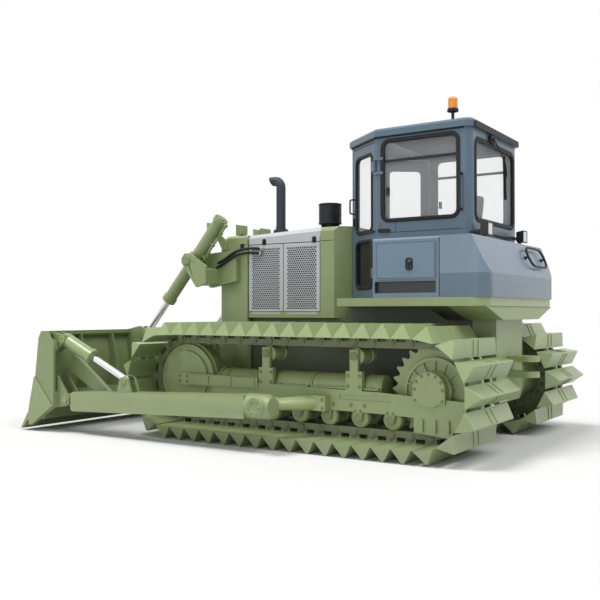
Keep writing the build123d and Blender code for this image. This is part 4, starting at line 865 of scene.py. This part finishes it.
# Tank handle and filler
SLOPE_TALL = BOX_TOP - DECK_TOP - TANK_BAND
SLOPE_UP = Vector((TANK_SLOPE, 0, SLOPE_TALL)).normalized()
SLOPE_OUT = Vector((-SLOPE_UP.z, 0, SLOPE_UP.x))
SLOPE_MID = Vector((TANK_REAR + TANK_SLOPE * 0.56, -0.555, DECK_TOP + TANK_BAND + SLOPE_TALL * 0.56))
oval = [SLOPE_MID + SLOPE_OUT * 0.040 + Vector((0, a, 0)) + SLOPE_UP * b
        for a, b in rounded(0.560, 0.225, 0.110, 4)]
pipe("tank_handle", oval, 0.012, "chassis", "black", closed=True)
bm = bmesh.new()
for a in (0.275, -0.275):
    lathe(bm, SLOPE_MID + Vector((0, a, 0)), SLOPE_OUT,
          [(-0.004, 0), (-0.004, 0.026), (0.006, 0.024), (0.010, 0.012), (0.034, 0.012), (0.034, 0)], 18)
lathe(bm, ((TANK_REAR + TANK_SLOPE + CAB_REAR) / 2 - 0.006, 0.780, BOX_TOP), (0, 0, 1),
      [(-0.004, 0), (-0.004, 0.052), (0.020, 0.052), (0.022, 0.046), (0.026, 0.046), (0.028, 0.056),
       (0.046, 0.056), (0.052, 0.048), (0.052, 0)], 24)
finish(bm, "tank_fittings", "chassis", "black")

# Inside the cab
bm = bmesh.new()
floor_plan = [(CAB_REAR + 0.060, 0.610), (CAB_KINK - 0.030, 0.610), (CAB_FRONT - 0.075, 0.268)]
floor_plan += [(x, -y) for x, y in reversed(floor_plan)]
prism(bm, [(x, y, DECK_TOP + 0.001) for x, y in floor_plan], (0, 0, 0.010))
for s in (-1, 1):
    box(bm, (CAB_REAR + 0.140, s * (CAB_HALF - 0.058), DECK_TOP + 0.012),
        (CAB_KINK - 0.060, s * (CAB_HALF - 0.050), 2.318))
box(bm, (CAB_REAR + 0.050, -0.560, DECK_TOP + 0.012), (CAB_REAR + 0.058, 0.560, 2.288))
box(bm, (CAB_REAR + 0.060, -0.610, CAB_TOP - 0.012), (CAB_KINK - 0.030, 0.610, CAB_TOP - 0.002))
finish(bm, "cab_lining", "chassis", "lining", bevel=0.003)

SEAT_X = CAB_REAR + 0.480


def pad(name, origin, along, up, size, crown, channels):
    """A sewn cushion: two crowned skins that meet at a seam, sides drawn in, channels across it."""
    along, up = Vector(along).normalized(), Vector(up).normalized()
    wide = up.cross(along)
    steps, grid = 30, {}
    bm = bmesh.new()
    for face in (1, -1):
        for i in range(steps + 1):
            for j in range(steps + 1):
                u, v = 2 * i / steps - 1, 2 * j / steps - 1
                edge = i in (0, steps) or j in (0, steps)
                key = (i, j, 0 if edge else face)
                if key in grid:
                    continue
                rise = ((1 - u ** 8) * (1 - v ** 8)) ** 0.4
                high = size[2] / 2 * rise + (crown * (1 - u * u) * (1 - v * v) if face > 0 else 0)
                if face > 0:
                    high -= sum(0.008 * math.exp(-((u - c) / 0.045) ** 2) for c in channels) * rise
                a = u * size[0] / 2 * (1 - 0.03 * (1 - v * v))
                b = v * size[1] / 2 * (1 - 0.03 * (1 - u * u))
                grid[key] = bm.verts.new(Vector(origin) + along * a + wide * b + up * high * face)
        for i in range(steps):
            for j in range(steps):
                quad = [grid.get((p, q, face)) or grid[(p, q, 0)]
                        for p, q in ((i, j), (i + 1, j), (i + 1, j + 1), (i, j + 1))]
                bm.faces.new(quad)
    piece = finish(bm, name, "chassis", "cloth", smooth=75)
    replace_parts(piece, "seat")


LEAN = Vector((-0.095, 0, 0.730)).normalized()
pad("seat_cushion", (SEAT_X + 0.022, 0, DECK_TOP + 0.395), (1, 0, 0), (0, 0, 1), (0.480, 0.490, 0.120), 0.016,
    (-0.35, 0.35))
pad("seat_back", (SEAT_X - 0.210, 0, DECK_TOP + 0.775), LEAN, (LEAN.z, 0, -LEAN.x),
    (0.690, 0.450, 0.090), 0.018, (-0.45, 0.0, 0.45))
bm = bmesh.new()
loops = [(0.000, 0.360, 0.360)]
for k in range(6):
    z = 0.030 + 0.046 * k
    loops += [(z, 0.350, 0.350), (z + 0.023, 0.312, 0.312)]
loops += [(0.306, 0.350, 0.350), (0.312, 0.450, 0.440), (0.330, 0.450, 0.440)]
loft(bm, [[(SEAT_X + a, b, DECK_TOP + z) for a, b in rounded(w, d, 0.040, 4)] for z, w, d in loops])
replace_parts(finish(bm, "seat_base", "chassis", "rubber"), "seat")

# Stage
scene = bpy.context.scene
scene.view_settings.view_transform = "Standard"
AMBIENT, FLOOR_TONE, FLOOR_HALF = 0.43, 0.68, 60


def seen(tree):
    """One where a ray comes from the camera, a gloss or through glass, and nought elsewhere."""
    path = tree.nodes.new("ShaderNodeLightPath")
    total = path.outputs["Is Camera Ray"]
    for name in ("Is Glossy Ray", "Is Transmission Ray"):
        add = tree.nodes.new("ShaderNodeMath")
        add.operation = "MAXIMUM"
        tree.links.new(total, add.inputs[0])
        tree.links.new(path.outputs[name], add.inputs[1])
        total = add.outputs[0]
    return total


world = bpy.data.worlds.new("world")
scene.world = world
world.use_nodes = True
sky = world.node_tree
level = sky.nodes.new("ShaderNodeMapRange")
level.inputs["To Min"].default_value = AMBIENT
level.inputs["To Max"].default_value = 1.0
sky.links.new(seen(sky), level.inputs["Value"])
sky.links.new(level.outputs["Result"], sky.nodes["Background"].inputs["Strength"])
sky.nodes["Background"].inputs["Color"].default_value = (1, 1, 1, 1)

bm = bmesh.new()
bmesh.ops.create_grid(bm, x_segments=2, y_segments=2, size=FLOOR_HALF)
mesh = bpy.data.meshes.new("floor")
bm.to_mesh(mesh)
bm.free()
floor = bpy.data.objects.new("floor", mesh)
scene.collection.objects.link(floor)
n = Nodes("pale_floor")
n.set(Base_Color=(FLOOR_TONE, FLOOR_TONE, FLOOR_TONE), Roughness=0.9, Specular_IOR_Level=0.0)
mesh.materials.append(n.material)


def sun(name, strength, angle, heading, height):
    data = bpy.data.lights.new(name, "SUN")
    data.energy = strength
    data.angle = math.radians(angle)
    lamp = bpy.data.objects.new(name, data)
    lamp.rotation_euler = (math.radians(90 - height), 0, math.radians(heading))
    scene.collection.objects.link(lamp)


sun("key", 2.2, 20, 142, 66)
sun("fill", 1.6, 40, 250, 53)
sun("side", 0.32, 40, 176, 16)

# Paint on the solids
FINISH = {"track_left": "track", "track_right": "track", "track_frame": "frame", "rollers": "frame",
          "sprocket": "frame", "idler": "frame", "main_frame": "hull", "moldboard": "blade",
          "cab_frame": "grey", "cab_roof": "roof", "door_": "grey", "locker": "locker", "fuel_tank": "tank",
          "cab_glass": "glass", "door_glass": "door_glass", "side_grilles": "grille", "hood_top": "silver",
          "exhaust_stack": "slate", "precleaner": "black", "seat": "cloth", "console": "black",
          "beacon": "amber", "work_lamps": "lamp", "grab_handles": "black", "lift_rod": "chrome",
          "tilt_rod": "chrome", "engine_block": "iron"}
for name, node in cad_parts.items():
    best = max((k for k in FINISH if name.startswith(k)), key=len, default=None)
    node.data.materials.clear()
    node.data.materials.append(M[FINISH[best] if best else "green"])


def smooth_by_angle():
    """A node group that welds a mesh and shades it smooth except across sharp edges."""
    group = bpy.data.node_groups.new("smooth_by_angle", "GeometryNodeTree")
    for way in ("INPUT", "OUTPUT"):
        group.interface.new_socket("Geometry", in_out=way, socket_type="NodeSocketGeometry")
    new = group.nodes.new
    start, end = new("NodeGroupInput"), new("NodeGroupOutput")
    weld, clean = new("GeometryNodeMergeByDistance"), new("GeometryNodeRemoveAttribute")
    weld.inputs["Distance"].default_value = 0.00002
    clean.inputs["Name"].default_value = "custom_normal"
    faces, edges = new("GeometryNodeSetShadeSmooth"), new("GeometryNodeSetShadeSmooth")
    edges.domain = "EDGE"
    edges.inputs["Shade Smooth"].default_value = False
    bend, sharp = new("GeometryNodeInputMeshEdgeAngle"), new("FunctionNodeCompare")
    sharp.inputs[1].default_value = math.radians(31)
    for a, b in ((start.outputs[0], weld.inputs["Geometry"]), (weld.outputs[0], clean.inputs["Geometry"]),
                 (clean.outputs[0], faces.inputs["Geometry"]), (faces.outputs[0], edges.inputs["Geometry"]),
                 (bend.outputs["Unsigned Angle"], sharp.inputs[0]),
                 (sharp.outputs[0], edges.inputs["Selection"]), (edges.outputs[0], end.inputs[0])):
        group.links.new(a, b)
    return group


EDGE_ROUND = 0.004
ROUND = smooth_by_angle()
for name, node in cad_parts.items():
    node.modifiers.new("smooth", "NODES").node_group = ROUND
    if not any(name.startswith(k) for k in ("cab_glass", "door_glass", "engine")):
        soften(node, EDGE_ROUND, 35)
